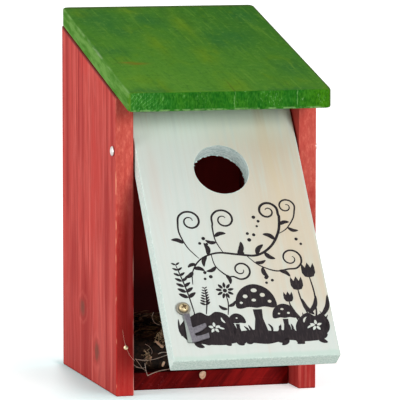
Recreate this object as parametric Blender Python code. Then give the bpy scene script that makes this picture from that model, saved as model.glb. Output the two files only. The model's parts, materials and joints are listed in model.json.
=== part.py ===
"""A wooden nest box for small birds, with a front door that swings on two nails, at its real size.

Metres, +Z up. The origin is on the underside of the floor board, in the middle of the box. +Y points
out of the back board. The door is at -Y and stands half open, and its hook hangs straight down on it.
Run it with: blender --background --python part.py
"""

import math

import bmesh
import bpy
from mathutils import Vector

# The six boards
BOARD = 0.0115
BOX_WIDTH = 0.130
BOX_DEPTH = 0.141
SIDE_FRONT_HEIGHT = 0.1875
SIDE_BACK_HEIGHT = 0.2235
ROOF_OVERHANG = 0.032
FLOOR_SETBACK = 0.020
BOARD_ARRIS = 0.0007
ROOF_ARRIS = 0.0012
ROOF_CORNER_RADIUS = 0.0035

# Clearances
SEAT_GAP = 0.0003
NAIL_FIT = 0.00015
HINGE_PLAY = 0.00025
DOOR_SIDE_GAP = 0.0010
DOOR_HEAD_GAP = 0.0015
DOOR_FOOT_GAP = 0.0005
CUT_OVERRUN = 0.002
MERGE_DISTANCE = 0.000001

# The door and its hinge nails
DOOR_OPEN = math.radians(37)
HINGE_DROP = 0.0345
ENTRANCE_DROP = 0.019
ENTRANCE_RADIUS = 0.0175
HINGE_SHANK_RADIUS = 0.00125
HINGE_NAIL_LENGTH = 0.030
HINGE_HEAD_RADIUS = 0.0030
HINGE_HEAD_HEIGHT = 0.0014

# The hook, its screw and the catch nail that it drops over
LATCH_DROP = 0.117
LATCH_INSET = 0.0115
CATCH_HEIGHT = 0.031
HOOK_THICKNESS = 0.0012
HOOK_ARRIS = 0.00015
EYE_RADIUS = 0.0044
ARM_WIDTH = 0.0041
ARM_OFFSET = 0.0012
SLOT_WIDTH = 0.0020
SLOT_FLARE = 0.0016
SLOT_LAND = 0.0010
INNER_PRONG_REACH = 0.0123
INNER_PRONG_ROOT = 0.0036
INNER_PRONG_TIP = 0.0027
OUTER_PRONG_REACH = 0.0130
OUTER_PRONG_ROOT = 0.0044
OUTER_PRONG_TIP = 0.0036
HOOK_CORNER_RADIUS = 0.0007
CATCH_SHANK_RADIUS = 0.0007
CATCH_HEAD_RADIUS = 0.0017
CATCH_HEAD_HEIGHT = 0.0011
CATCH_NAIL_DEPTH = 0.012
SCREW_SHANK_RADIUS = 0.0014
SCREW_HEAD_RADIUS = 0.0031
SCREW_HEAD_HEIGHT = 0.0020
SCREW_DEPTH = 0.0085
SCREW_TAPER = 0.0030
RECESS_SPAN = 0.0035
RECESS_WIDTH = 0.0009
RECESS_DEPTH = 0.0013

# Brads that hold the boards together, set flush and painted over
BRAD_LENGTH = 0.025
BRAD_RADIUS = 0.0006
BRAD_HEAD_RADIUS = 0.0010
BRAD_HEAD_HEIGHT = 0.0010
BRAD_SINK = 0.0004
BRAD_POINT = 0.0015

# The hole in the back board that the box hangs by
HANG_RADIUS = 0.0035
HANG_DROP = 0.022

# The loose straw that lies on the floor
NEST_GAP = 0.0012
NEST_RIM_HEIGHT = 0.027
NEST_CUP_DEPTH = 0.011
NEST_CUP_RADIUS = 0.034
NEST_LUMP = 0.0024
NEST_SHOULDER = 0.006
NEST_CUTS = 9

# Facets round a full turn
BRAD_SIDES = 8
NAIL_SIDES = 16
HEAD_SIDES = 24
HANG_SIDES = 20
EYE_SIDES = 32
ENTRANCE_SIDES = 56
DOME_STEPS = 4
CORNER_STEPS = 3
SLOT_STEPS = 6
ARRIS_STEPS = 2

# Places that follow from the sizes
FRONT = -BOX_DEPTH / 2
BACK = BOX_DEPTH / 2
INNER_HALF = BOX_WIDTH / 2 - BOARD
SIDE_MIDDLE = BOX_WIDTH / 2 - BOARD / 2
SLOPE = math.atan2(SIDE_BACK_HEIGHT - SIDE_FRONT_HEIGHT, BOX_DEPTH)
ROOF_NORMAL = Vector((0, -math.sin(SLOPE), math.cos(SLOPE)))
BACK_INNER = BACK - BOARD
FLOOR_FRONT = FRONT + FLOOR_SETBACK
FLOOR_BACK = BACK_INNER - SEAT_GAP
DOOR_HALF_WIDTH = INNER_HALF - DOOR_SIDE_GAP
HINGE_Y = FRONT + BOARD / 2
HINGE_Z = SIDE_FRONT_HEIGHT - HINGE_DROP
DOOR_TOP = HINGE_DROP - DOOR_HEAD_GAP
DOOR_FOOT = HINGE_Z - DOOR_FOOT_GAP
LATCH_X = LATCH_INSET - DOOR_HALF_WIDTH
CATCH_X = -SIDE_MIDDLE
CATCH_REACH = math.hypot(CATCH_X - LATCH_X, CATCH_HEIGHT - (HINGE_Z - LATCH_DROP))
HEAD_LIFT = HOOK_THICKNESS + 2 * SEAT_GAP
NEST_FRONT = FLOOR_FRONT + NEST_SHOULDER
NEST_BACK = FLOOR_BACK - NEST_GAP


def side_top(y):
    """Height of the side boards' sloping top edge at y."""
    return SIDE_FRONT_HEIGHT + (y - FRONT) * math.tan(SLOPE)


def clear_scene():
    for old in list(bpy.data.objects):
        bpy.data.objects.remove(old)


def finish(name, colour, roughness, metallic=0):
    """A plain material with the colour and sheen of one real finish."""
    material = bpy.data.materials.new(name)
    material.use_nodes = True
    shader = material.node_tree.nodes["Principled BSDF"]
    shader.inputs["Base Color"].default_value = (*colour, 1)
    shader.inputs["Roughness"].default_value = roughness
    shader.inputs["Metallic"].default_value = metallic
    return material


def object_from(bm, name, material=None):
    """Closes a bmesh and links it to the scene as an object."""
    bmesh.ops.recalc_face_normals(bm, faces=bm.faces)
    mesh = bpy.data.meshes.new(name)
    bm.to_mesh(mesh)
    bm.free()
    if material:
        mesh.materials.append(material)
    made = bpy.data.objects.new(name, mesh)
    bpy.context.scene.collection.objects.link(made)
    return made


def as_cutter(made, bores):
    """Keeps a cutter out of renders and puts it among the bores of one group of boards."""
    made.hide_render = True
    made.display_type = "WIRE"
    bores.objects.link(made)
    return made


def extruded(name, outline, shift, material=None):
    """A flat outline of 3D points, pushed along the vector shift into a solid."""
    bm = bmesh.new()
    face = bm.faces.new([bm.verts.new(point) for point in outline])
    grown = bmesh.ops.extrude_face_region(bm, geom=[face])
    moved = [item for item in grown["geom"] if isinstance(item, bmesh.types.BMVert)]
    bmesh.ops.translate(bm, verts=moved, vec=shift)
    return object_from(bm, name, material)


def turned(name, profile, sides, material=None):
    """A solid turned about its own Z axis from (radius, height) points between two points on the axis."""
    bm = bmesh.new()
    points = [bm.verts.new((radius, 0, height)) for radius, height in profile]
    edges = [bm.edges.new(pair) for pair in zip(points, points[1:])]
    bmesh.ops.spin(
        bm, geom=points + edges, cent=(0, 0, 0), axis=(0, 0, 1), angle=math.tau, steps=sides, use_merge=True
    )
    bmesh.ops.remove_doubles(bm, verts=bm.verts, dist=MERGE_DISTANCE)
    made = object_from(bm, name, material)
    made.data.shade_smooth()
    made.data.set_sharp_from_angle(angle=math.radians(35))
    return made


def ease_edges(made, width):
    """Sanded arrises on the board's long edges."""
    bevel = made.modifiers.new("arris", "BEVEL")
    bevel.width = width
    bevel.segments = ARRIS_STEPS
    bevel.limit_method = "ANGLE"
    bevel.angle_limit = math.radians(40)


def cut(made, bores):
    """Takes every cutter of the collection bores out of a board."""
    boolean = made.modifiers.new("bores", "BOOLEAN")
    boolean.operation = "DIFFERENCE"
    boolean.solver = "EXACT"
    boolean.operand_type = "COLLECTION"
    boolean.collection = bores


def aim(made, place, outward, parent=None):
    """Stands a turned piece at place with its head end towards the vector outward."""
    made.location = place
    made.rotation_euler = Vector(outward).to_track_quat("Z", "Y").to_euler()
    made.parent = parent
    return made


def arc(centre, radius, start, end, steps):
    """Points on a circle in a plane, from one angle to the other, both ends among them."""
    angles = [start + (end - start) * step / steps for step in range(steps + 1)]
    return [centre + radius * Vector((math.cos(angle), math.sin(angle))) for angle in angles]


def fillet(before, corner, after):
    """Points that round off one corner of the hook, between the corners before and after it."""
    first = (before - corner).normalized()
    last = (after - corner).normalized()
    half = first.angle(last) / 2
    centre = corner + (first + last).normalized() * HOOK_CORNER_RADIUS / math.sin(half)
    reach = HOOK_CORNER_RADIUS / math.tan(half)
    start = corner + first * reach - centre
    end = corner + last * reach - centre
    shares = [step / CORNER_STEPS for step in range(CORNER_STEPS + 1)]
    return [centre + HOOK_CORNER_RADIUS * start.lerp(end, share).normalized() for share in shares]


def dome(radius, height):
    """The upper outline of a round head, from its crown down to its rim."""
    turns = [math.pi / 2 * step / DOME_STEPS for step in range(DOME_STEPS + 1)]
    return [(radius * math.sin(turn), height * math.cos(turn)) for turn in turns]


def nail_profile(shank, depth, head_radius, head_height, point, lift):
    """A round-headed nail. Height 0 is the wood's surface, and the head's underside is at lift."""
    head = [(radius, height + lift) for radius, height in dome(head_radius, head_height)]
    return head + [(shank, lift), (shank, point - depth), (0, -depth)]


def shank_bore(shank, depth, fit):
    """The hole that a nail's shank lies in, open past the wood's surface."""
    return [(0, CUT_OVERRUN), (shank + fit, CUT_OVERRUN), (shank + fit, -depth - fit), (0, -depth - fit)]


def side_board(name, side, material, bores):
    outer = side * BOX_WIDTH / 2
    outline = [
        (outer, FRONT, 0),
        (outer, BACK, 0),
        (outer, BACK, SIDE_BACK_HEIGHT),
        (outer, FRONT, SIDE_FRONT_HEIGHT),
    ]
    board = extruded(name, outline, (-side * BOARD, 0, 0), material)
    ease_edges(board, BOARD_ARRIS)
    cut(board, bores)


def back_board(material, bores):
    """Stands between the sides, with its top edge cut to the roof's slope and a hole to hang the box by."""
    half = INNER_HALF - SEAT_GAP
    outline = [
        (-half, BACK_INNER, 0),
        (-half, BACK, 0),
        (-half, BACK, side_top(BACK)),
        (-half, BACK_INNER, side_top(BACK_INNER)),
    ]
    board = extruded("back_board", outline, (2 * half, 0, 0), material)
    ease_edges(board, BOARD_ARRIS)
    hanging = [(0, CUT_OVERRUN), (HANG_RADIUS, CUT_OVERRUN), (HANG_RADIUS, -BOARD - CUT_OVERRUN)]
    hanging.append((0, -BOARD - CUT_OVERRUN))
    hole = as_cutter(turned("hanging_hole", hanging, HANG_SIDES), bores)
    aim(hole, (0, BACK, SIDE_BACK_HEIGHT - HANG_DROP), (0, 1, 0))
    cut(board, bores)


def floor_board(material, bores):
    """Lies between the sides and in front of the back board, set back behind the door."""
    half = INNER_HALF - SEAT_GAP
    outline = [
        (-half, FLOOR_FRONT, 0),
        (half, FLOOR_FRONT, 0),
        (half, FLOOR_BACK, 0),
        (-half, FLOOR_BACK, 0),
    ]
    board = extruded("floor_board", outline, (0, 0, BOARD), material)
    ease_edges(board, BOARD_ARRIS)
    cut(board, bores)


def roof_board(material, bores):
    """One sloping board with upright edges and round corners, flush with the back and proud of the door."""
    seat = SEAT_GAP / math.cos(SLOPE)
    rise = BOARD / math.cos(SLOPE)
    half = BOX_WIDTH / 2 - ROOF_CORNER_RADIUS
    rear = BACK - ROOF_CORNER_RADIUS
    eave = FRONT - ROOF_OVERHANG + ROOF_CORNER_RADIUS
    plan = []
    for quarter, corner in enumerate([(half, rear), (-half, rear), (-half, eave), (half, eave)]):
        start = quarter * math.pi / 2
        plan += arc(Vector(corner), ROOF_CORNER_RADIUS, start, start + math.pi / 2, CORNER_STEPS)
    outline = [(x, y, side_top(y) + seat) for x, y in plan]
    board = extruded("roof_board", outline, (0, 0, rise), material)
    ease_edges(board, ROOF_ARRIS)
    cut(board, bores)


def brad_seats():
    """(name, place, outward) of each brad, over the middle of the board edge that it is driven into."""
    floor_middle = BOARD / 2
    back_middle = BACK - BOARD / 2
    floor_shares = (0.22, 0.78)
    back_shares = (0.16, 0.50, 0.84)
    roof_shares = (0.10, 0.50, 0.80)
    width_shares = (-0.45, 0.45)
    seats = []
    for side, word in ((-1, "left"), (1, "right")):
        outer = side * BOX_WIDTH / 2
        for count, share in enumerate(floor_shares, 1):
            y = FLOOR_FRONT + share * (FLOOR_BACK - FLOOR_FRONT)
            seats.append((f"floor_brad_{word}_{count}", (outer, y, floor_middle), (side, 0, 0)))
        for count, share in enumerate(back_shares, 1):
            z = share * SIDE_BACK_HEIGHT
            seats.append((f"back_brad_{word}_{count}", (outer, back_middle, z), (side, 0, 0)))
        for count, share in enumerate(roof_shares, 1):
            y = FRONT + share * BOX_DEPTH
            on_side = Vector((side * SIDE_MIDDLE, y, side_top(y)))
            surface = on_side + ROOF_NORMAL * (SEAT_GAP + BOARD)
            seats.append((f"roof_brad_{word}_{count}", surface, ROOF_NORMAL))
    for share, word in zip(width_shares, ("left", "right")):
        x = share * 2 * INNER_HALF
        roof_top = side_top(back_middle) + (SEAT_GAP + BOARD) / math.cos(SLOPE)
        seats.append((f"roof_brad_back_{word}", (x, back_middle, roof_top), (0, 0, 1)))
        seats.append((f"floor_brad_back_{word}", (x, BACK, floor_middle), (0, 1, 0)))
    return seats


def brads(wall_finish, roof_finish, bores):
    """Thin brads with small flat heads, just under the surface, and the bores that they lie in."""
    tip = -BRAD_SINK - BRAD_LENGTH
    profile = [
        (0, -BRAD_SINK),
        (BRAD_HEAD_RADIUS, -BRAD_SINK),
        (BRAD_HEAD_RADIUS, -BRAD_SINK - BRAD_HEAD_HEIGHT),
        (BRAD_RADIUS, -BRAD_SINK - BRAD_HEAD_HEIGHT),
        (BRAD_RADIUS, tip + BRAD_POINT),
        (0, tip),
    ]
    wide, narrow = BRAD_HEAD_RADIUS + NAIL_FIT, BRAD_RADIUS + NAIL_FIT
    shoulder = -BRAD_SINK - BRAD_HEAD_HEIGHT - NAIL_FIT
    bore = [
        (0, CUT_OVERRUN),
        (wide, CUT_OVERRUN),
        (wide, shoulder),
        (narrow, shoulder),
        (narrow, tip - NAIL_FIT),
        (0, tip - NAIL_FIT),
    ]
    for name, place, outward in brad_seats():
        material = roof_finish if name.startswith("roof") else wall_finish
        aim(turned(name, profile, BRAD_SIDES, material), place, outward)
        aim(as_cutter(turned(name + "_bore", bore, BRAD_SIDES), bores), place, outward)


def hinge_nails(material, body_bores, door_bores):
    """Two nails through the sides, with the door's bores running free on them."""
    profile = nail_profile(
        HINGE_SHANK_RADIUS,
        HINGE_NAIL_LENGTH,
        HINGE_HEAD_RADIUS,
        HINGE_HEAD_HEIGHT,
        2 * HINGE_SHANK_RADIUS,
        NAIL_FIT,
    )
    tight = shank_bore(HINGE_SHANK_RADIUS, HINGE_NAIL_LENGTH, NAIL_FIT)
    running = shank_bore(HINGE_SHANK_RADIUS, HINGE_NAIL_LENGTH, HINGE_PLAY)
    for side, word in ((-1, "left"), (1, "right")):
        place = (side * BOX_WIDTH / 2, HINGE_Y, HINGE_Z)
        outward = (side, 0, 0)
        aim(turned(f"hinge_nail_{word}", profile, NAIL_SIDES, material), place, outward)
        wall_bore = turned(f"hinge_wall_bore_{word}", tight, NAIL_SIDES)
        door_bore = turned(f"hinge_door_bore_{word}", running, NAIL_SIDES)
        aim(as_cutter(wall_bore, body_bores), place, outward)
        aim(as_cutter(door_bore, door_bores), place, outward)


def front_door(material, hinge, bores):
    """The door in its hinge's own frame: x across it, y behind the hinge axis and z above it."""
    face = -BOARD / 2
    outline = [
        (-DOOR_HALF_WIDTH, face, -DOOR_FOOT),
        (DOOR_HALF_WIDTH, face, -DOOR_FOOT),
        (DOOR_HALF_WIDTH, face, DOOR_TOP),
        (-DOOR_HALF_WIDTH, face, DOOR_TOP),
    ]
    door = extruded("front_door", outline, (0, BOARD, 0), material)
    door.parent = hinge
    ease_edges(door, BOARD_ARRIS)
    reach = BOARD / 2 + CUT_OVERRUN
    hole = [(0, reach), (ENTRANCE_RADIUS, reach), (ENTRANCE_RADIUS, -reach), (0, -reach)]
    entrance = as_cutter(turned("entrance_hole", hole, ENTRANCE_SIDES), bores)
    aim(entrance, (0, 0, -ENTRANCE_DROP), (0, 1, 0), hinge)
    cut(door, bores)


def slot_edge(radius, flare, mouth_reach):
    """One edge of the hook's slot, from its round end out to the mouth, opening by flare on the way.

    The slot follows the circle that the catch nail draws about the screw.
    """
    start = math.asin((ARM_OFFSET + ARM_WIDTH / 2 + SLOT_LAND + SLOT_WIDTH / 2) / CATCH_REACH)
    mouth = math.asin(mouth_reach / (radius + flare))
    points = []
    for step in range(SLOT_STEPS + 1):
        share = step / SLOT_STEPS
        turn = start + (mouth - start) * share
        reach = radius + flare * share
        points.append(Vector((reach * math.sin(turn), reach * math.cos(turn))))
    return points


def hook_outline():
    """The hook about its screw, as (across, down) points: a round eye, an arm, two prongs and a slot."""
    left = ARM_OFFSET - ARM_WIDTH / 2
    right = ARM_OFFSET + ARM_WIDTH / 2
    upper_edge = slot_edge(CATCH_REACH - SLOT_WIDTH / 2, 0, INNER_PRONG_REACH)
    lower_edge = slot_edge(CATCH_REACH + SLOT_WIDTH / 2, SLOT_FLARE, OUTER_PRONG_REACH)
    slot_end = (upper_edge[0] + lower_edge[0]) / 2
    across = lower_edge[0] - slot_end
    turn = math.atan2(across.y, across.x)
    foot = lower_edge[0].y + OUTER_PRONG_ROOT
    inner_root = Vector((right, upper_edge[0].y - INNER_PRONG_ROOT))
    inner_tip = upper_edge[-1] - Vector((0, INNER_PRONG_TIP))
    outer_tip = lower_edge[-1] + Vector((0, OUTER_PRONG_TIP))
    outer_root = Vector((right, foot))
    corner = Vector((left, foot))
    eye_start = math.asin(right / EYE_RADIUS)
    eye_end = math.tau + math.asin(left / EYE_RADIUS)
    eye_exit = Vector((right, EYE_RADIUS * math.cos(eye_start)))

    points = []
    for step in range(EYE_SIDES + 1):
        angle = eye_start + (eye_end - eye_start) * step / EYE_SIDES
        points.append(Vector((EYE_RADIUS * math.sin(angle), EYE_RADIUS * math.cos(angle))))
    points += fillet(points[-1], corner, outer_root)
    points.append(outer_root)
    points += fillet(outer_root, outer_tip, lower_edge[-1])
    points += lower_edge[::-1]
    points += arc(slot_end, SLOT_WIDTH / 2, turn, turn + math.pi, 2 * CORNER_STEPS)[1:-1]
    points += upper_edge
    points += fillet(upper_edge[-1], inner_tip, inner_root)
    points += fillet(inner_tip, inner_root, eye_exit)
    return points


def latch_hook(material, pivot):
    """A stamped steel hook that turns on its screw, flat against the door."""
    back = -SEAT_GAP
    outline = [(across, back, -down) for across, down in hook_outline()]
    hook = extruded("latch_hook", outline, (0, -HOOK_THICKNESS, 0), material)
    hook.parent = pivot
    ease_edges(hook, HOOK_ARRIS)
    hook.modifiers["arris"].segments = 1
    bores = bpy.data.collections.new("hook_bores")
    radius = SCREW_SHANK_RADIUS + HINGE_PLAY
    depth = HOOK_THICKNESS + CUT_OVERRUN
    hole = [(0, depth), (radius, depth), (radius, -CUT_OVERRUN), (0, -CUT_OVERRUN)]
    aim(as_cutter(turned("hook_eye_hole", hole, NAIL_SIDES), bores), (0, 0, 0), (0, -1, 0), pivot)
    cut(hook, bores)


def latch_screw(material, pivot, door_bores):
    """A round-headed wood screw with a cross recess. Its plain shank passes the eye and tapers in the door."""
    profile = nail_profile(
        SCREW_SHANK_RADIUS, SCREW_DEPTH, SCREW_HEAD_RADIUS, SCREW_HEAD_HEIGHT, SCREW_TAPER, HEAD_LIFT
    )
    screw = turned("latch_screw", profile, HEAD_SIDES, material)
    aim(screw, (0, 0, 0), (0, -1, 0), pivot)
    bore = turned("screw_bore", shank_bore(SCREW_SHANK_RADIUS, SCREW_DEPTH, NAIL_FIT), HEAD_SIDES)
    aim(as_cutter(bore, door_bores), (0, 0, 0), (0, -1, 0), pivot)
    half, thin = RECESS_SPAN / 2, RECESS_WIDTH / 2
    quarter = [(thin, half), (thin, thin), (half, thin)]
    cross = []
    for turn in range(4):
        angle = -turn * math.pi / 2
        for x, y in quarter:
            across = x * math.cos(angle) - y * math.sin(angle)
            along = x * math.sin(angle) + y * math.cos(angle)
            cross.append((across, along, HEAD_LIFT + SCREW_HEAD_HEIGHT - RECESS_DEPTH))
    bores = bpy.data.collections.new("recess_bores")
    recess = extruded("cross_recess", cross, (0, 0, RECESS_DEPTH + CUT_OVERRUN))
    aim(as_cutter(recess, bores), (0, 0, 0), (0, -1, 0), pivot)
    cut(screw, bores)


def catch_nail(material, bores):
    """The small brass nail in the left side's front edge, left proud for the hook's slot."""
    profile = nail_profile(
        CATCH_SHANK_RADIUS,
        CATCH_NAIL_DEPTH,
        CATCH_HEAD_RADIUS,
        CATCH_HEAD_HEIGHT,
        2 * CATCH_SHANK_RADIUS,
        HEAD_LIFT + SEAT_GAP,
    )
    place = (CATCH_X, FRONT, CATCH_HEIGHT)
    aim(turned("catch_nail", profile, NAIL_SIDES, material), place, (0, -1, 0))
    bore = turned("catch_bore", shank_bore(CATCH_SHANK_RADIUS, CATCH_NAIL_DEPTH, NAIL_FIT), NAIL_SIDES)
    aim(as_cutter(bore, bores), place, (0, -1, 0))


def nest_height(x, y):
    """Height of the straw above the floor: a rim, a hollow in the middle and shallow lumps."""
    middle = (NEST_FRONT + NEST_BACK) / 2
    away = math.hypot(x, y - middle) / NEST_CUP_RADIUS
    hollow = NEST_CUP_DEPTH * math.exp(-away * away)
    lumps = math.sin(5 * x / NEST_CUP_RADIUS + 1) * math.cos(4 * y / NEST_CUP_RADIUS)
    return NEST_RIM_HEIGHT - hollow + NEST_LUMP * lumps


def nest_straw(material):
    """Loose straw and twigs as one mound on the floor, clear of the boards round it."""
    half = INNER_HALF - NEST_GAP
    low = BOARD + SEAT_GAP
    bm = bmesh.new()
    bmesh.ops.create_cube(bm, size=1)
    bmesh.ops.subdivide_edges(bm, edges=bm.edges, cuts=NEST_CUTS, use_grid_fill=True)
    for vert in bm.verts:
        level = vert.co.z + 1 / 2
        x = 2 * half * vert.co.x
        y = (NEST_FRONT + NEST_BACK) / 2 + (NEST_BACK - NEST_FRONT) * vert.co.y
        edge = min(half - abs(x), y - NEST_FRONT, NEST_BACK - y)
        shoulder = min(edge / NEST_SHOULDER, 1)
        drop = NEST_SHOULDER * (1 - math.sqrt(1 - (1 - shoulder) ** 2))
        vert.co = (x, y, low + level * (nest_height(x, y) - drop))
    nest = object_from(bm, "nest_straw", material)
    nest.data.shade_smooth()


def build():
    clear_scene()
    red = finish("red_stain", (0.56, 0.10, 0.09), 0.62)
    green = finish("green_stain", (0.10, 0.27, 0.05), 0.58)
    white = finish("white_wash", (0.66, 0.70, 0.65), 0.60)
    red_heads = finish("red_painted_heads", (0.50, 0.09, 0.08), 0.50)
    green_heads = finish("green_painted_heads", (0.09, 0.25, 0.05), 0.50)
    steel = finish("zinc_plated_steel", (0.52, 0.51, 0.53), 0.38, 1)
    brass = finish("brass_plated_steel", (0.68, 0.52, 0.27), 0.35, 1)
    straw = finish("dry_straw", (0.36, 0.26, 0.15), 0.85)

    body_bores = bpy.data.collections.new("body_bores")
    door_bores = bpy.data.collections.new("door_bores")
    hinge = bpy.data.objects.new("door_hinge_axis", None)
    hinge.location = (0, HINGE_Y, HINGE_Z)
    hinge.rotation_euler = (-DOOR_OPEN, 0, 0)
    pivot = bpy.data.objects.new("latch_pivot", None)
    pivot.location = (LATCH_X, -BOARD / 2, -LATCH_DROP)
    pivot.parent = hinge
    for empty in (hinge, pivot):
        bpy.context.scene.collection.objects.link(empty)

    brads(red_heads, green_heads, body_bores)
    hinge_nails(steel, body_bores, door_bores)
    catch_nail(brass, body_bores)
    side_board("left_side_board", -1, red, body_bores)
    side_board("right_side_board", 1, red, body_bores)
    back_board(red, body_bores)
    floor_board(red, body_bores)
    roof_board(green, body_bores)
    latch_screw(brass, pivot, door_bores)
    front_door(white, hinge, door_bores)
    latch_hook(steel, pivot)
    nest_straw(straw)


build()
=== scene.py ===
"""The finishes of a wooden nest box, the straw in it, and the light and camera that show it."""

import json
import math
import random

import bmesh
import bpy
from mathutils import Matrix, Vector, noise
from mathutils.bvhtree import BVHTree
from mathutils.geometry import interpolate_bezier


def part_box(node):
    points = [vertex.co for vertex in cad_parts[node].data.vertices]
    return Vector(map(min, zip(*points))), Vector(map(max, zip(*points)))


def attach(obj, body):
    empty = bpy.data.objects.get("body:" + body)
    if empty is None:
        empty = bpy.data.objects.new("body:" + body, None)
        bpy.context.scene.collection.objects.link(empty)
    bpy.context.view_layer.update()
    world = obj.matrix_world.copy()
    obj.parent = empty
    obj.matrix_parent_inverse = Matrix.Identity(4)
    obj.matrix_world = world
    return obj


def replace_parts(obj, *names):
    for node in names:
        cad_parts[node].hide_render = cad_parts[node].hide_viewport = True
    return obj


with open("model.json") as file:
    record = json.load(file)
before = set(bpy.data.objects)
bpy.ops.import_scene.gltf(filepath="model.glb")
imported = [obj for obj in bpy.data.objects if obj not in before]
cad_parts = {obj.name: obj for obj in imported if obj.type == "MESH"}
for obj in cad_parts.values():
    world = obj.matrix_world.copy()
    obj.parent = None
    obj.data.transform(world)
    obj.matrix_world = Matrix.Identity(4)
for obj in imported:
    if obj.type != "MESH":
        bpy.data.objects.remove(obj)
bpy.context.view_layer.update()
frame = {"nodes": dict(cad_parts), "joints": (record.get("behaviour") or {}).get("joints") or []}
nodes = frame["nodes"]
joints = {joint["name"]: joint for joint in frame["joints"]}

# Places read from the frame
hinge_point = Vector(joints["door_swing"]["pos_m"])
hook_point = Vector(joints["hook_turn"]["pos_m"])
door_open = -math.radians(joints["door_swing"]["range_deg"][0])
side_low, side_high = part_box("left_side_board")
right_low, right_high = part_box("right_side_board")
floor_low, floor_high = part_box("floor_board")
back_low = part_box("back_board")[0]
roof_low, roof_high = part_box("roof_board")
door_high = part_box("front_door")[1]
straw_low, straw_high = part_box("nest_straw")
nail_low, nail_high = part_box("catch_nail")
BOARD = floor_high.z - floor_low.z
BOX_HALF = right_high.x
ROOM_HALF = right_low.x
FRONT = side_low.y
BACK = side_high.y
ROOF_SLOPE = math.atan2(roof_high.z - roof_low.z - BOARD, roof_high.y - roof_low.y)
ROOF_NORMAL = Vector((0, -math.sin(ROOF_SLOPE), math.cos(ROOF_SLOPE)))
DOOR_HALF = door_high.x
MM = 0.001

# The roof's own frame has its x across the roof, its y up the slope from the eave and its z out of its top
ROOF_FRAME = Matrix.Translation((0, roof_low.y, roof_low.z)) @ Matrix.Rotation(ROOF_SLOPE, 4, "X")
ROOF_LENGTH = (roof_high.y - roof_low.y) / math.cos(ROOF_SLOPE)
# The door's own frame has its x across the door, its y into the box and its z up the door
DOOR_TURN = Matrix.Rotation(-door_open, 4, "X")
DOOR_FRAME = Matrix.Translation(hinge_point) @ DOOR_TURN
DOOR_OUTWARD = DOOR_FRAME.to_3x3() @ Vector((0, -1, 0))
# In the door's frame, its outer face and its foot, and the entrance's middle and radius
DOOR_FACE = -BOARD / 2
DOOR_FOOT = -0.1525
ENTRANCE_HEIGHT = -0.019
ENTRANCE_RADIUS = 0.0175

# The latch screw's round head, in mm: its radius, its height, and how far out its rim is from the joint
SCREW_RADIUS, SCREW_HEIGHT, SCREW_RIM = 3.1, 1.9, 1.95

# The camera stands where the photograph was taken from
PICTURE_WIDTH = 400
FOCAL_PIXELS = 3590.9
SENSOR_WIDTH = 36
CAMERA_PLACE = Vector((-0.61254, -2.21135, 0.35582))
CAMERA_YAW = math.radians(15.698)
CAMERA_PITCH = math.radians(6.013)

# Light, as the level that each lamp gives a surface that faces it, and how wide it is in degrees
WORLD_LEVEL = 0.27
LAMPS = (
    ("right_softbox", (0.312, -0.917, 0.20), 0.66, 20),
    ("left_softbox", (-0.96, -0.2, 0.2), 0.66, 40),
    ("top_softbox", (0.3, 0.2, 0.95), 0.34, 80),
)
# What the floor adds of its own light where the camera sees it: past the box, and, less, in a painted shadow
# beside the left board
FLOOR_GLOW = (0.46, 0.46, 0.46, 1)
SHADE_GLOW = (0.14, 0.14, 0.14, 1)
FLOOR_RADIUS = 14
STAIN_SHINE = 0.04
ROOF_SHINE = 0.01

# Knots on the left side: how far along the board's depth, how high, and their half width and height
LEFT_KNOTS = ((0.0165, 0.0447, 0.0098, 0.0072), (-0.0210, 0.0212, 0.0082, 0.0090))
# Dark and pale streaks on the left side: how far along, their reach to each side, their lower and upper
# ends, and their strength
LEFT_STREAKS = (
    (-0.0615, 0.002, 0.10, 0.24, 0.75), (-0.049, 0.0024, 0.12, 0.24, 0.75), (0.056, 0.008, 0.09, 0.24, 0.75),
    (0.0428, 0.0018, 0.15, 0.24, 0.75), (0.025, 0.0034, 0.13, 0.24, 0.75), (0.014, 0.0016, 0.12, 0.24, 0.75),
    (0.030, 0.0016, 0.04, 0.24, 0.75), (-0.048, 0.013, 0.04, 0.15, 0.65), (0.009, 0.019, -0.03, 0.085, 0.7),
    (0.037, 0.015, 0.04, 0.105, 0.5), (-0.011, 0.005, 0.06, 0.09, 0.3), (0.0, 0.5, -0.1, 0.19, 0.08),
)
LEFT_PALE_STREAKS = (
    (-0.039, 0.0018, 0.10, 0.24, 0.5), (-0.054, 0.0016, 0.11, 0.24, 0.5), (0.035, 0.0026, 0.14, 0.24, 0.5),
    (-0.003, 0.003, 0.05, 0.24, 0.5), (-0.027, 0.019, -0.02, 0.10, 0.32), (-0.009, 0.0026, -0.02, 0.045, 0.5),
    (-0.04, 0.004, -0.02, 0.07, 0.4), (0.0225, 0.0016, -0.02, 0.095, 0.45), (-0.059, 0.003, -0.02, 0.06, 0.4),
)
# Patches of the roof's stain: across from the middle, up the slope from the eave, and half width and length
ROOF_YELLOWS = (
    (0.0035, 0.076, 0.006, 0.019), (-0.0225, 0.098, 0.006, 0.021), (0.0055, 0.138, 0.006, 0.024),
    (-0.0235, 0.168, 0.008, 0.008), (-0.0395, 0.012, 0.003, 0.017), (0.0055, 0.013, 0.007, 0.014),
    (-0.0550, 0.166, 0.006, 0.007), (0.0045, 0.084, 0.004, 0.008),
)
ROOF_BLUES = (
    (-0.0465, 0.150, 0.012, 0.030), (-0.0400, 0.128, 0.009, 0.013), (0.0485, 0.156, 0.010, 0.014),
    (0.0325, 0.112, 0.012, 0.019), (0.0195, 0.106, 0.008, 0.014), (-0.0165, 0.152, 0.009, 0.012),
    (0.0515, 0.048, 0.008, 0.018), (-0.0545, 0.086, 0.012, 0.008), (-0.0545, 0.007, 0.013, 0.007),
    (0.0370, 0.004, 0.016, 0.006),
)
ROOF_RUSTS = ((-0.0450, 0.0600, 0.0062, 0.0022), (-0.0500, 0.0625, 0.0050, 0.0016))
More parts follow.
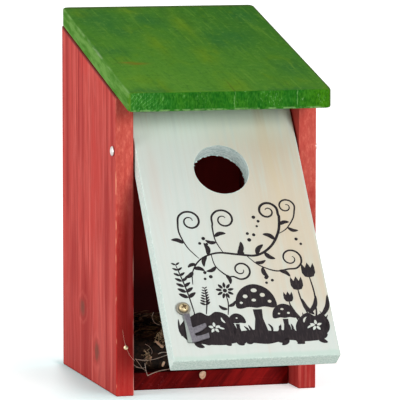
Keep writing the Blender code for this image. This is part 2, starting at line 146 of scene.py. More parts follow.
# Where the roof is cracked and split at its front edge, across from the middle
ROOF_CRACK = 0.0025
ROOF_SPLIT = 0.0423


def tone(red, green, blue):
    """A colour written as it looks on a screen, from 0 to 255, as the linear colour that a shader takes."""
    shares = [value / 255 for value in (red, green, blue)]
    linear = [s / 12.92 if s <= 0.04045 else ((s + 0.055) / 1.055) ** 2.4 for s in shares]
    return (*linear, 1.0)


class Wire:
    """A node's output, worked with as a number by the usual operators."""

    def __init__(self, nodes, socket):
        self.nodes = nodes
        self.socket = socket

    def maths(self, operation, *values):
        return self.nodes.node("Math", {"operation": operation}, values)

    def __add__(self, other):
        return self.maths("ADD", self, other)

    def __sub__(self, other):
        return self.maths("SUBTRACT", self, other)

    def __rsub__(self, other):
        return self.maths("SUBTRACT", other, self)

    def __mul__(self, other):
        return self.maths("MULTIPLY", self, other)

    def __truediv__(self, other):
        return self.maths("DIVIDE", self, other)

    def __pow__(self, other):
        return self.maths("POWER", self, other)

    def __abs__(self):
        return self.maths("ABSOLUTE", self)

    __radd__ = __add__
    __rmul__ = __mul__

    def fraction(self):
        return self.maths("FRACT", self)

    def bell(self):
        """1 at zero and falling away as a bell curve does, for a squared distance."""
        return self.maths("EXPONENT", self * -1.0)

    def most(self, other):
        return self.maths("MAXIMUM", self, other)

    def rise(self, low, high):
        """Smoothly 0 below low and 1 above high, or the other way round where high is the lower."""
        settings = {"interpolation_type": "SMOOTHSTEP"}
        return self.nodes.node("MapRange", settings, (self, low, high, 0.0, 1.0))

    def near(self, centre, width):
        """1 at centre, falling smoothly to 0 at width to each side."""
        return abs(self - centre).rise(width, 0.0)


class NodeTree:
    """A tree of shader nodes, filled by plain calls."""

    def __init__(self, tree):
        self.tree = tree

    def node(self, kind, settings=None, sockets=(), output=0):
        """Any node: its settings are set first, then its sockets, by order or by name."""
        made = self.tree.nodes.new("ShaderNode" + kind)
        for key, value in (settings or {}).items():
            setattr(made, key, value)
        named = sockets.items() if isinstance(sockets, dict) else enumerate(sockets)
        for key, value in named:
            self.feed(made.inputs[key], value)
        return Wire(self, made.outputs[output]) if made.outputs else None

    def feed(self, socket, value):
        if isinstance(value, Wire):
            self.tree.links.new(value.socket, socket)
        else:
            socket.default_value = value

    def outputs(self, wire):
        return [Wire(self, output) for output in wire.socket.node.outputs]

    def shown_ray(self):
        """1 for the rays that show the surroundings: the camera's, and those off gloss or through glass."""
        rays = self.node("LightPath").socket.node.outputs
        camera, glossy, through = (
            Wire(self, rays[f"Is {kind} Ray"]) for kind in ("Camera", "Glossy", "Transmission")
        )
        return camera.most(glossy).most(through)


class Look(NodeTree):
    """One material, which reads the piece's own Object coordinates."""

    def __init__(self, name):
        self.material = bpy.data.materials.new(name)
        self.material.use_nodes = True
        super().__init__(self.material.node_tree)
        self.shader = self.tree.nodes["Principled BSDF"]

    def place(self, turned_by=None):
        """Object coordinates, or the same read in the frame of a matrix."""
        point = self.node("TexCoord", output=3)
        if turned_by is None:
            return point
        settings = {"vector_type": "TEXTURE"}
        return self.node("Mapping", settings, (point, turned_by.to_translation(), turned_by.to_euler()))

    def axes(self, point):
        return self.outputs(self.node("SeparateXYZ", None, (point,)))

    def vector(self, x, y, z):
        return self.node("CombineXYZ", None, (x, y, z))

    def cloud(self, point, size, detail=2.0, roughness=0.5, distortion=0.0):
        """Soft noise from 0 to 1 with blobs of about the given size, at a point or a point's x, y and z."""
        if isinstance(point, tuple):
            point = self.vector(*point)
        sockets = {"Vector": point, "Scale": 1 / size, "Detail": detail}
        return self.node("TexNoise", None, sockets | {"Roughness": roughness, "Distortion": distortion})

    def spots(self, across, along, places):
        """1 at the middle of each ellipse, given as middle across and along and half width and height."""
        nearest = None
        for middle_across, middle_along, wide, tall in places:
            gap_across = (across - middle_across) / wide
            gap_along = (along - middle_along) / tall
            spot = (gap_across * gap_across + gap_along * gap_along).bell()
            nearest = nearest.most(spot) if nearest else spot
        return nearest

    def mix(self, factor, first, second):
        """The first colour where the factor is 0, and the second where it is 1."""
        settings = {"data_type": "RGBA", "clamp_factor": True}
        return self.node("Mix", settings, {0: factor, 6: first, 7: second}, output=2)

    def coats(self, colour, *layers):
        """Lays coats over a colour in turn, each a mask and the red, green and blue that it brings."""
        for mask, *brought in layers:
            colour = self.mix(mask, colour, tone(*brought))
        return colour

    def bump(self, height, depth):
        """Relief of the given depth in metres from a height of 0 to 1."""
        return self.node("Bump", None, {"Strength": 1.0, "Distance": depth, "Height": height})

    def wear(self, **sockets):
        """Sets the shader's sockets, with spaces written as underscores."""
        for key, value in sockets.items():
            self.feed(self.shader.inputs[key.replace("_", " ")], value)
        return self.material

    def stained(self, colour, roughness, height, depth, shine=STAIN_SHINE):
        """Finishes a stained or washed board, with relief of a depth in metres from a height of 0 to 1."""
        relief = self.bump(height, depth)
        return self.wear(Base_Color=colour, Roughness=roughness, Specular_IOR_Level=shine, Normal=relief)


def put_on(mesh, material):
    """Gives a mesh one material."""
    mesh.materials.clear()
    mesh.materials.append(material)


def sealed(bm, gap=1e-6):
    """Merges the points that meet and turns all faces outwards."""
    bmesh.ops.remove_doubles(bm, verts=bm.verts, dist=gap)
    bmesh.ops.recalc_face_normals(bm, faces=bm.faces)
    return bm


def written(bm, name):
    """The mesh of a bmesh, which is then freed."""
    mesh = bpy.data.meshes.new(name)
    bm.to_mesh(mesh)
    bm.free()
    return mesh


def added(bm, mesh):
    """Adds a mesh, which is then removed, to a bmesh."""
    bm.from_mesh(mesh)
    bpy.data.meshes.remove(mesh)
    return bm


def as_piece(shape, name, material, body, sharp=None):
    """Makes a bmesh or a mesh a piece that rides on a body, shaded smooth up to an angle in degrees."""
    mesh = written(shape, name) if isinstance(shape, bmesh.types.BMesh) else shape
    put_on(mesh, material)
    if sharp:
        mesh.shade_smooth()
        mesh.set_sharp_from_angle(angle=math.radians(sharp))
    made = bpy.data.objects.new(name, mesh)
    bpy.context.scene.collection.objects.link(made)
    if body:
        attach(made, body)
    return made


def as_mesh(maker):
    """The finished mesh of a curve or of an object with modifiers, which is then removed."""
    bpy.context.scene.collection.objects.link(maker)
    shown = maker.evaluated_get(bpy.context.evaluated_depsgraph_get())
    mesh = bpy.data.meshes.new_from_object(shown)
    bpy.data.objects.remove(maker)
    return mesh


# Wood


class Grain:
    """Sawn softwood with its fibres along z: its knots, its ring lines and its clouds, each 0 to 1."""

    def __init__(self, look, point, ring, heart, seed, knots=()):
        def cloud(shift_x, shift_y, stretch, *finish):
            """A cloud shifted by its share of the seed, and drawn out along the fibres."""
            return look.cloud((x + seed * shift_x, y + seed * shift_y, z * stretch), *finish)

        x, y, z = look.axes(point)
        bend = (cloud(1, 0, 0.1, 0.026, 1.0) - 0.5) * (ring * 6)
        wobble = (cloud(0, 0, 1, 0.007) - 0.5) * 0.0075
        self.knot = look.spots(y + wobble, z - wobble, knots)
        # The fibres part and run round each knot
        for along, high, wide, tall in knots:
            eye = look.spots(y, z, [(along, high, wide * 1.9, tall * 3.2)])
            y = y - (y - along) * eye * 0.85
        from_heart = ((x - heart[0]) ** 2.0 + (y - heart[1]) ** 2.0) ** 0.5
        phase = ((from_heart + bend) / ring).fraction()
        self.rings = phase.rise(0.45, 0.88) * phase.rise(1.0, 0.92)
        self.fibres = cloud(1, 0, 0.024, 0.0006, 3.0, 0.65)
        self.bands = cloud(0, 1, 0.05, 0.0036, 3.0, 0.6)
        self.lines = cloud(1, -1, 0.026, 0.0021, 1.5)
        self.dashes = cloud(-1, 0, 0.07, 0.0042, 3.0, 0.65)
        self.threads = cloud(-1, 1, 0.03, 0.0062, 2.5, 0.6)
        self.broad = cloud(0, 1, 0.06, 0.016)
        self.blotches = cloud(1, 0, 0.4, 0.03, 3.0, 0.55)
        self.calm = cloud(1, 1, 0.16, 0.034, 1.0)


def knot_coats(grain, rough_sawn):
    """Coats for the knots: a pale rim, a ragged dark eye, and fibres that cross it."""
    ragged = grain.knot + (grain.fibres - 0.5) * 0.5 + (rough_sawn - 0.5) * 0.4
    return (
        (grain.knot.near(0.2, 0.14) * rough_sawn * 0.3, 218, 114, 102),
        (ragged.rise(0.2, 0.62) * 0.5, 142, 44, 38),
        (ragged.rise(0.48, 0.95) * 0.75, 108, 58, 46),
        (ragged.rise(0.5, 0.7) * grain.fibres.rise(0.45, 0.6) * 0.3, 160, 84, 68),
    )


def front_coats(look, grain, rough_sawn, x, y, z):
    """Coats for a side's front edge: sawn rough, redder towards its foot, rubbed along its arrises, with a
    painted shadow of the door on the left one.
    """
    face = y.rise(FRONT + 0.0012, FRONT + 0.0003)
    high = z.rise(0.06, 0.13)
    left = x.rise(0.0, -0.02)
    # A painted shadow of the door over part of the left board's edge, where the pale grit is left out, and
    # the bared line down its inner side
    painted_door_shadow = left * x.rise(-0.0655, -0.0588) * z.rise(0.14, 0.10) * z.rise(0.008, 0.034)
    bared = x.near(-0.0560, 0.0022) * z.rise(0.044, 0.056) * z.rise(0.15, 0.13)
    veins = grain.fibres.rise(0.4, 0.6) * 0.35 + 0.8
    grit = face * rough_sawn.rise(0.45, 0.75) * (1 - painted_door_shadow)
    foot = face * z.rise(0.05, 0.02) * (x.rise(-0.01, 0.01) * 0.8 + 0.2)
    outer = abs(x).rise(BOX_HALF - 0.0008, BOX_HALF - 0.0002)
    inner = x.near(-ROOM_HALF, 0.0010) * z.rise(0.094, 0.08)
    rubbed = look.cloud((x, y, z * 0.16), 0.0034, 3.0, 0.7)
    return (
        (face * high * 0.3, 184, 98, 84),
        (face * left * z.rise(0.135, 0.09) * 0.5, 202, 34, 35),
        (face * (1 - left) * z.rise(0.145, 0.095) * 0.5, 148, 32, 32),
        (face * painted_door_shadow * veins * 0.42, 98, 20, 16),
        (face * bared * 0.6, 184, 70, 70),
        (grit * (high * 0.4 + 0.06), 222, 124, 104),
        (face * rough_sawn.rise(0.45, 0.25) * 0.4, 150, 38, 34),
        (foot * grain.lines.rise(0.48, 0.62) * 0.3, 206, 108, 96),
        (foot * grain.fibres.rise(0.5, 0.35) * 0.4, 124, 28, 28),
        (outer * face * rubbed.rise(0.55, 0.66) * 0.65, 238, 160, 128),
        (inner * face * rubbed.rise(0.36, 0.58) * 0.9, 250, 184, 170),
    )


def red_stain(name, heart, seed, turned_by=None, knots=(), streaks=(), pale=(), low=0.35, deep=None):
    """Red stain over softwood, darker by low towards the foot, and where deep says so a deeper red that is
    partly stain and partly painted shade, near black lower down.
    """
    look = Look(name)
    point = look.place()
    grain = Grain(look, look.place(turned_by) if turned_by else point, 0.0042, heart, seed, knots)
    x, y, z = look.axes(point)
    rough_sawn = look.cloud((x, y, z * 0.4), 0.0017, 3.0, 0.7)
    broken = look.cloud((x + seed, y, z * 0.22), 0.0042, 3.0, 0.65)
    lower = z.rise(0.12, 0.07)
    body = look.coats(
        look.mix(grain.bands.rise(0.34, 0.64), tone(177, 55, 48), tone(196, 77, 68)),
        (grain.dashes.rise(0.5, 0.66) * 0.45, 208, 98, 88),
        (grain.dashes.rise(0.48, 0.34) * 0.5, 160, 38, 36),
        (grain.rings * grain.broad.rise(0.58, 0.42) * 0.45, 158, 42, 40),
        # The fine lines come and go along the board
        (grain.lines.rise(0.58, 0.7) * broken.rise(0.38, 0.6) * 0.5, 220, 114, 104),
        (grain.lines.rise(0.41, 0.3) * broken.rise(0.62, 0.4) * 0.6, 150, 36, 35),
        (broken.rise(0.52, 0.7) * 0.2, 212, 100, 90),
        (broken.rise(0.48, 0.3) * 0.2, 152, 34, 34),
        (grain.fibres.rise(0.55, 0.8) * 0.3, 218, 106, 94),
        (grain.fibres.rise(0.42, 0.2) * 0.3, 146, 40, 36),
        (grain.calm.rise(0.42, 0.58) * 0.55, 187, 66, 58),
        (grain.broad.rise(0.48, 0.3) * 0.45, 170, 50, 48),
        (grain.blotches.rise(0.5, 0.68) * 0.45, 198, 56, 49),
        # The lower part is darker, with coarser threads
        (z.rise(0.085, 0.0) * low, 158, 42, 40),
        (lower * grain.threads.rise(0.47, 0.36) * 0.45, 144, 26, 28),
        (lower * grain.threads.rise(0.55, 0.68) * 0.35, 212, 100, 90),
    )
    for marks, rub in ((streaks, (146, 24, 22)), (pale, (216, 108, 98))):
        for along, reach, start, end, strength in marks:
            ends = z.rise(start, start + 0.025) * z.rise(end, end - 0.025)
            streak = y.near(along, reach) * ends * grain.dashes.rise(0.2, 0.5) * (broken * 0.8 + 0.6)
            body = look.coats(body, (streak * strength, *rub))
    if knots:
        body = look.coats(body, *knot_coats(grain, rough_sawn))
    under_roof = z - y * math.tan(ROOF_SLOPE)
    roof_line = side_high.z - BACK * math.tan(ROOF_SLOPE)
    corner = y.rise(BACK - 0.0014, BACK - 0.0004) * abs(x).rise(BOX_HALF - 0.0010, BOX_HALF - 0.0004)
    body = look.coats(
        body,
        # Painted shadow of the gap where the roof lies on the board, painted contact shade along the lower
        # edge, and stain gathered dark down the back corner
        (under_roof.rise(roof_line - 0.0022, roof_line - 0.0008) * 0.8, 74, 22, 14),
        (z.rise(0.0012, 0.0003) * 0.6, 84, 22, 20),
        (corner * 0.5, 112, 38, 44),
        *front_coats(look, grain, rough_sawn, x, y, z),
    )
    if deep:
        # A deeper red, partly the stain there and partly painted shade, that darkens to near black lower down
        # as painted shade
        inside = look.mix(grain.blotches, tone(112, 26, 24), tone(152, 40, 37))
        inside = look.coats(inside, (z.rise(0.085, 0.045), 58, 12, 12))
        body = look.mix(deep(x, y), body, inside)
    return look.stained(body, grain.fibres * 0.18 + 0.5, grain.fibres * 0.6 + grain.rings * 0.4, 0.00012)


def room_wall(x, y):
    """The sides' faces that look into the box, fading out towards the open front."""
    return abs(x).rise(ROOM_HALF + 0.0007, ROOM_HALF + 0.0002) * y.rise(FRONT + 0.012, FRONT + 0.036)


def room_back(x, y):
    """The back board's face that looks into the box."""
    return y.rise(back_low.y + 0.0007, back_low.y + 0.0002)


def floor_stain():
    """Thick deep red on the floor board's front edge, and near black above, where the straw lies."""
    look = Look("red_stain_floor")
    x, y, z = look.axes(look.place())
    grain = Grain(look, look.vector(z, y, x), 0.0017, (-0.03, 0.02), 7.4)
    brushed = look.cloud((x - z * 0.8, y, z * 0.2), 0.006, 3.0, 0.65)
    thin = x.near(0.022, 0.03) * 0.1
    specks = look.cloud((x, y, z), 0.0016, 2.0, 0.7)
    body = look.coats(
        look.mix((brushed + thin).rise(0.42, 0.72), tone(90, 4, 5), tone(136, 18, 17)),
        (specks.rise(0.58, 0.7) * x.rise(0.0, -0.04) * 0.4, 156, 60, 66),
        (grain.fibres.rise(0.6, 0.85) * 0.2, 184, 60, 50),
        (z.rise(0.0030, 0.0002) * 0.5, 96, 8, 8),
        (z.rise(BOARD - 0.0007, BOARD - 0.0002), 46, 9, 8),
    )
    return look.stained(body, 0.6, grain.fibres, 0.0001)


def roof_end(look, grain, ticks, x, y, z):
    """Green end grain on the roof's front edge: pale ticks, arcs at its left end and a rubbed lower arris."""
    grooves = look.cloud((x, y, z * 0.2), 0.0009, 3.0, 0.65)
    tuft = look.cloud((x + 0.3, y, z * 0.7), 0.005, 3.0, 0.6)
    dark_zones = x.near(-0.0195, 0.017).most(x.near(0.015, 0.008))
    gathered = (x.rise(-0.03, -0.06) * 0.1 + x.near(0.032, 0.02) * 0.1 + tuft).rise(0.5, 0.7)
    arcs = grain.rings.near(0.5, 0.3) * x.rise(-0.034, -0.058) * grooves.rise(0.4, 0.6)
    shifted = x + (tuft - 0.5) * 0.003
    crack = shifted.near(ROOF_CRACK, 0.0006) * 0.3
    split = shifted.near(ROOF_SPLIT, 0.0006) * z.rise(0.0012, 0.004) * 0.55
    low_edge = z.rise(0.0016, 0.0006) * look.cloud((x, y, z), 0.003).rise(0.38, 0.6)
    return look.coats(
        look.mix(tuft.rise(0.3, 0.7), tone(28, 96, 22), tone(50, 112, 24)),
        (x.rise(0.042, 0.06) * 0.6, 64, 122, 4),
        (x.rise(-0.03, -0.055) * 0.4, 54, 124, 46),
        (dark_zones * 0.35, 20, 80, 20),
        (grooves.rise(0.52, 0.38) * 0.6, 16, 74, 14),
        (grooves.rise(0.55, 0.72) * 0.4, 76, 142, 56),
        (ticks.rise(0.58, 0.72) * gathered * 0.6, 124, 174, 104),
        (arcs * 0.75, 122, 172, 104),
        (crack.most(split) * grooves.rise(0.3, 0.55), 134, 180, 110),
        (low_edge * 0.6, 136, 172, 110),
    )


def green_stain():
    """Brushed green stain: yellow-green and blue-green patches, thin at the eave, with end grain in front."""
    look = Look("green_stain")
    point = look.place(ROOF_FRAME)
    x, y, z = look.axes(point)
    grain = Grain(look, look.vector(x, z, y), 0.0019, (0.012, -0.045), 3.7)
    wander = (look.cloud((x, z, y * 0.4), 0.008, 3.0, 0.6) - 0.5) * 0.014
    patches = look.cloud((x - 0.7, z, y * 0.6), 0.014, 3.0, 0.6, 0.5)
    brushed = look.cloud((x + y * 0.06, z, y * 0.06), 0.0022, 3.0, 0.7, 0.3)
    strokes = look.cloud((x + y * 0.08, z + 0.4, y * 0.1), 0.0055, 3.0, 0.7)
    swept = look.cloud((x + 0.6, z, y * 0.5), 0.02)
    dapples = look.cloud(point, 0.0032, 4.0, 0.8)
    crack = x.near(ROOF_CRACK, 0.0009) * y.rise(0.032, 0.01)
    # The stain is thin and light near the eave and the left edge, and thick at the back and the right
    thin = y.rise(ROOF_LENGTH * 1.1, -0.02) * 0.6 + x.rise(BOX_HALF * 1.2, -BOX_HALF * 1.1) * 0.4
    body = look.coats(
        look.mix(thin, tone(40, 93, 16), tone(80, 130, 36)),
        (patches.rise(0.35, 0.65) * 0.2, 60, 114, 40),
        (look.spots(x + wander, y + wander * 2.0, ROOF_YELLOWS) * 0.6, 96, 128, 12),
        (look.spots(x + wander, y - wander * 2.0, ROOF_BLUES) * 0.6, 28, 90, 38),
        (patches.rise(0.56, 0.74) * 0.3, 40, 98, 38),
        (patches.rise(0.44, 0.3) * 0.35, 88, 124, 16),
        (strokes.rise(0.54, 0.72) * 0.3, 96, 138, 42),
        (strokes.rise(0.46, 0.3) * 0.25, 34, 86, 24),
        (brushed.rise(0.52, 0.74) * swept.rise(0.38, 0.58) * 0.45, 102, 142, 48),
        (brushed.rise(0.47, 0.3) * swept.rise(0.35, 0.6) * 0.45, 34, 82, 20),
        (dapples.rise(0.52, 0.7) * 0.45, 98, 138, 50),
        (dapples.rise(0.47, 0.3) * 0.45, 32, 78, 20),
        (look.spots(x, y, ROOF_RUSTS) * 0.6, 120, 84, 16),
        (crack * 0.55, 66, 74, 22),
    )
    worn = look.cloud((x, y * 0.2, z), 0.005, 3.0, 0.6)
    edge = x.rise(-BOX_HALF + 0.0012, -BOX_HALF + 0.0002)
    light = look.mix(worn.rise(0.38, 0.62), tone(68, 121, 36), tone(108, 153, 72))
    arris = z.near(BOARD - 0.0006, 0.0008) * x.rise(-BOX_HALF + 0.0018, -BOX_HALF + 0.0006)
    rubbed = worn.rise(0.4, 0.65) * y.rise(0.05, 0.08) * y.rise(0.13, 0.11)
    far = x.rise(BOX_HALF - 0.0026, BOX_HALF - 0.0010).most(y.rise(ROOF_LENGTH - 0.003, ROOF_LENGTH - 0.001))
    body = look.coats(
        look.mix(edge * 0.85, body, light),
        # The left edge's upper arris, rubbed pale here and there
        (arris * worn.rise(0.3, 0.7) * 0.35, 134, 168, 112),
        (arris * rubbed * 0.4, 150, 156, 140),
        # The far arrises, where the stain has gathered dark
        (far * 0.5, 66, 66, 36),
    )
    end = look.axes(look.place())[1].rise(roof_low.y + 0.0010, roof_low.y + 0.0003)
    ticks = look.cloud((x - 0.5, y, z * 0.35), 0.0011, 2.0, 0.55, 1.0)
    body = look.mix(end, body, roof_end(look, grain, ticks, x, y, z))
    relief = grain.fibres * 0.6 + ticks * end
    return look.stained(body, brushed * 0.2 + 0.5, relief, 0.00012, ROOF_SHINE)


def white_wash():
    """Thin pale wash over the door: cool mint at the left, cream at the right, with faint grain."""
    look = Look("white_wash")
    x, y, z = look.axes(look.place(DOOR_FRAME))
    grain = Grain(look, look.vector(y, x, z), 0.0026, (0.06, 0.012), 8.1)
    drift = look.cloud((x, y, z * 0.2), 0.02) - 0.5
    shifted = x + drift * 0.012
    cream = (x + drift * 0.05).rise(-0.03, 0.04) * z.rise(-0.138, -0.108)
    right_streak = shifted.near(0.034, 0.007) * z.rise(-0.1, -0.04) * grain.bands.rise(0.3, 0.55)
    left_streak = shifted.near(-0.044, 0.005) * z.rise(-0.07, -0.04) * z.rise(0.01, -0.02)
    foot = (z + drift * 0.004).rise(DOOR_FOOT + 0.0048, DOOR_FOOT + 0.0022)
    rim = abs(x).rise(DOOR_HALF - 0.0026, DOOR_HALF - 0.0006)
    body = look.coats(
        look.mix(cream, tone(202, 208, 202), tone(201, 190, 170)),
        # Painted light: the door's top is made paler and greener, against the roof's shadow and for the green
        # light that the roof throws down
        (z.rise(-0.008, 0.028) * 0.8, 214, 232, 218),
        (grain.bands.rise(0.47, 0.72) * 0.4, 192, 206, 200),
        (grain.bands.rise(0.42, 0.24) * 0.35, 208, 196, 182),
        (grain.rings * 0.05, 178, 166, 146),
        (grain.fibres.rise(0.55, 0.85) * 0.3, 214, 214, 206),
        (right_streak * 0.45, 206, 188, 154),
        (left_streak * 0.3, 206, 188, 178),
        (foot * 0.6, 180, 204, 192),
        (rim * 0.4, 198, 208, 202),
    )
    # The sawn edges and the wall of the entrance take the wash more thickly
    speckle = look.cloud((x, y, z), 0.0012, 3.0, 0.7)
    side = look.mix(speckle.rise(0.4, 0.65), tone(196, 214, 206), tone(222, 230, 224))
    thick = look.mix(speckle.rise(0.36, 0.66), tone(170, 190, 181), tone(206, 216, 208))
    body = look.mix(abs(x).rise(DOOR_HALF - 0.0007, DOOR_HALF - 0.0002) * 0.9, body, side)
    body = look.mix(z.rise(DOOR_FOOT + 0.0008, DOOR_FOOT + 0.0003) * 0.9, body, thick)
    centre = z - ENTRANCE_HEIGHT
    wall = ((x * x + centre * centre) ** 0.5).rise(ENTRANCE_RADIUS + 0.0004, ENTRANCE_RADIUS + 0.0001)
    bit_marks = look.cloud((x * 0.25, y * 2.0, z * 0.25), 0.0016, 2.0, 0.6)
    bored = look.coats(
        look.mix(bit_marks.rise(0.35, 0.6), tone(168, 188, 186), tone(208, 220, 216)),
        (speckle.rise(0.53, 0.68) * 0.6, 230, 234, 230),
        (speckle.rise(0.46, 0.32) * 0.6, 140, 162, 162),
    )
    return look.stained(look.mix(wall, body, bored), 0.6, grain.fibres + bit_marks * wall, 0.00007)


def print_ink():
    """Flat black print, broken a little along the wood's grain."""
    look = Look("black_print")
    x, y, z = look.axes(look.place(DOOR_FRAME))
    thin = look.cloud((x, y, z * 0.2), 0.0011, 3.0, 0.7)
    body = look.mix(thin.rise(0.45, 0.8), tone(36, 31, 34), tone(58, 50, 50))
    body = look.coats(body, (thin.rise(0.74, 0.8) * 0.5, 140, 138, 132))
    return look.wear(Base_Color=body, Roughness=0.62, Specular_IOR_Level=0.1)


# Metal and straw


def metal(name, colour, dull, speck, rough, stand, marks):
    """Plain metal, dull in places, with marks, painted shade and painted reflections that are laid out in the
    frame of a matrix.
    """
    look = Look(name)
    point = look.place()
    rub = look.cloud(point, 0.0004)
    body = look.coats(
        tone(*colour),
        # Dull patches, and finer grit
        (look.cloud(point, 0.0012, 3.0, 0.6).rise(0.35, 0.7) * speck, *dull),
        (look.cloud(point, 0.0009, 3.0, 0.7).rise(0.5, 0.66) * speck * 0.6, *dull),
        *marks(look, *look.axes(look.place(stand))),
    )
    relief = look.bump(rub, 0.00002)
    return look.wear(Base_Color=body, Metallic=1.0, Roughness=rub * 0.2 + rough, Normal=relief)


def screw_painted_shade(look, x, y, z):
    """Painted shade in the screw's recess and round its rim."""
    away = x * x + y * y
    crown = (1 - away / (SCREW_RADIUS * MM) ** 2) ** 0.5 * (SCREW_HEIGHT * MM) + SCREW_RIM * MM
    recess = (crown - z).rise(0.00001, 0.00006) * away.rise(0.0024 ** 2, 0.0022 ** 2)
    return (recess * 0.75, 112, 84, 50), (away.rise(0.0021 ** 2, 0.0029 ** 2) * 0.5, 128, 116, 92)


def hook_marks_and_reflection(look, x, y, z):
    """The hook's arm is dark below its beige eye, with a paler painted reflection of the white door down its
    outer side.
    """
    flank_reflection = (z * -0.11 - 0.0007 - x).rise(0.0, 0.0004) * z.rise(-0.003, -0.0045)
    drawn = look.cloud((x, y, z * 0.12), 0.0007)
    eye = (x * x + z * z).rise(0.0029 ** 2, 0.0033 ** 2) * z.rise(-0.0045, -0.003)
    return (
        (z.rise(-0.017, -0.007) * 0.45, 82, 79, 86),
        (flank_reflection * (drawn * 0.4 + z.rise(-0.006, -0.013) * 0.35), 158, 170, 160),
        (eye * 0.6, 150, 146, 126),
    )


def nail_dark_reflection(look, x, y, z):
    """Painted dark reflection on the far side of the catch nail's head, darkest in a spot within it."""
    dark_reflection = look.spots(x, z, [(0.0002, 0.0004, 0.0005, 0.0006)])
    return ((x + z * 0.6).rise(0.0004, 0.0012) * 0.7, 104, 76, 50), (dark_reflection * 0.7, 92, 60, 40)


def head_painted_shade(look, x, y, z):
    """Painted shade: grey on the rear and lower sides of a hinge nail's head."""
    under = (z * -1.0 + y * 0.4).rise(0.0010, 0.0028)
    return (y.rise(0.0004, 0.0022) * 0.6, 150, 144, 144), (under * 0.7, 104, 92, 92)


def painted_head(name, colour, worn):
    """Stain on the head of a sunk brad, worn in spots."""
    look = Look(name)
    body = look.coats(tone(*colour), (look.cloud(look.place(), 0.0007).rise(0.5, 0.7) * 0.5, *worn))
    return look.wear(Base_Color=body, Roughness=0.6, Specular_IOR_Level=STAIN_SHINE)


def straw_look(name, pale, dark, patch=0.009, rear=None):
    """Dry plant stuff in two tones, with a darker tone painted as shade on what lies away from the door."""
    look = Look(name)
    point = look.place()
    fine = look.cloud(point, 0.0009, 2.0, 0.6)
    body = look.mix(look.cloud(point, patch, 3.0, 0.6).rise(0.35, 0.65), tone(*dark), tone(*pale))
    body = look.coats(body, (fine.rise(0.5, 0.75) * 0.4, 52, 34, 22))
    if rear:
        body = look.coats(body, (look.axes(point)[1].rise(-0.048, -0.036) * 0.7, *rear))
    return look.wear(Base_Color=body, Roughness=0.65, Specular_IOR_Level=0.2, Normal=look.bump(fine, 0.0001))


# Small turned pieces


def turned(profile, sides, stand):
    """A closed solid turned about z from (radius, height) points in mm, then stood up by a matrix."""
    bm = bmesh.new()
    points = [bm.verts.new((radius * MM, 0, height * MM)) for radius, height in profile]
    edges = [bm.edges.new(pair) for pair in zip(points, points[1:])]
    bmesh.ops.spin(bm, geom=points + edges, axis=(0, 0, 1), angle=math.tau, steps=sides, use_merge=True)
    bmesh.ops.transform(sealed(bm), matrix=stand, verts=bm.verts)
    return bm


def standing(place, outward):
    """A matrix that stands a turned piece at place, with its head towards outward."""
    return Matrix.Translation(place) @ Vector(outward).to_track_quat("Z", "Y").to_matrix().to_4x4()


def dome(radius, height, lift, steps, squareness=1.0):
    """The outline of a round head, from its crown to its rim."""
    turns = [math.pi / 2 * step / steps for step in range(steps + 1)]
    return [(radius * math.sin(turn), lift + height * math.cos(turn) ** squareness) for turn in turns]


def hinge_nail(side, word, material):
    """A nail whose hammered head stands a little off the wood, with an eased underside."""
    profile = dome(3.1, 1.3, 0.6, 9, 0.8) + [(3.0, 0.34), (2.6, 0.2), (1.25, 0.2), (1.25, -27.5), (0, -30)]
    bm = turned(profile, 40, standing((side * BOX_HALF, hinge_point.y, hinge_point.z), (side, 0, 0)))
    piece = as_piece(bm, f"hinge_nail_{word}_round", material, "box", 40)
    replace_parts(piece, f"hinge_nail_{word}")


def catch_nail(material):
    """The small nail that the hook's slot drops over."""
    profile = dome(1.45, 0.85, 2.15, 8, 0.8) + [(1.35, 2.1), (0.7, 2.1), (0.7, -10.6), (0, -12)]
    middle = (nail_low + nail_high) / 2
    bm = turned(profile, 32, standing((middle.x, FRONT, middle.z), (0, -1, 0)))
    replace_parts(as_piece(bm, "catch_nail_round", material, "box", 40), "catch_nail")


def latch_screw(material, stand):
    """The round-headed screw that the hook turns on, with a cross recess that narrows as it goes down."""
    shank = [(3.05, 1.8), (1.4, 1.8), (1.4, -5.5), (0, -8.5)]
    profile = dome(SCREW_RADIUS, SCREW_HEIGHT, SCREW_RIM, 10) + shank
    head = turned(profile, 48, Matrix.Identity(4))
    blank = bpy.data.objects.new("screw_blank", written(head, "screw_blank"))
    bm = bmesh.new()
    for turn in (0, math.pi / 2):
        arm = bmesh.ops.create_cube(bm, size=1)["verts"]
        bmesh.ops.scale(bm, verts=arm, vec=(5.0 * MM, 1.2 * MM, 2.4 * MM))
        bmesh.ops.scale(bm, verts=[vert for vert in arm if vert.co.z < 0], vec=(0.5, 0.6, 1))
        bmesh.ops.rotate(bm, verts=arm, matrix=Matrix.Rotation(turn + 0.35, 3, "Z"))
        bmesh.ops.translate(bm, verts=arm, vec=(0, 0, 3.75 * MM))
    bit = bpy.data.objects.new("screw_bit", written(bm, "screw_bit"))
    bpy.context.scene.collection.objects.link(bit)
    recess = blank.modifiers.new("recess", "BOOLEAN")
    recess.operation = "DIFFERENCE"
    recess.solver = "EXACT"
    recess.use_self = True
    recess.object = bit
    screw = as_mesh(blank)
    bpy.data.objects.remove(bit)
    screw.transform(stand)
    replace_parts(as_piece(screw, "latch_screw_round", material, "door", 32), "latch_screw")


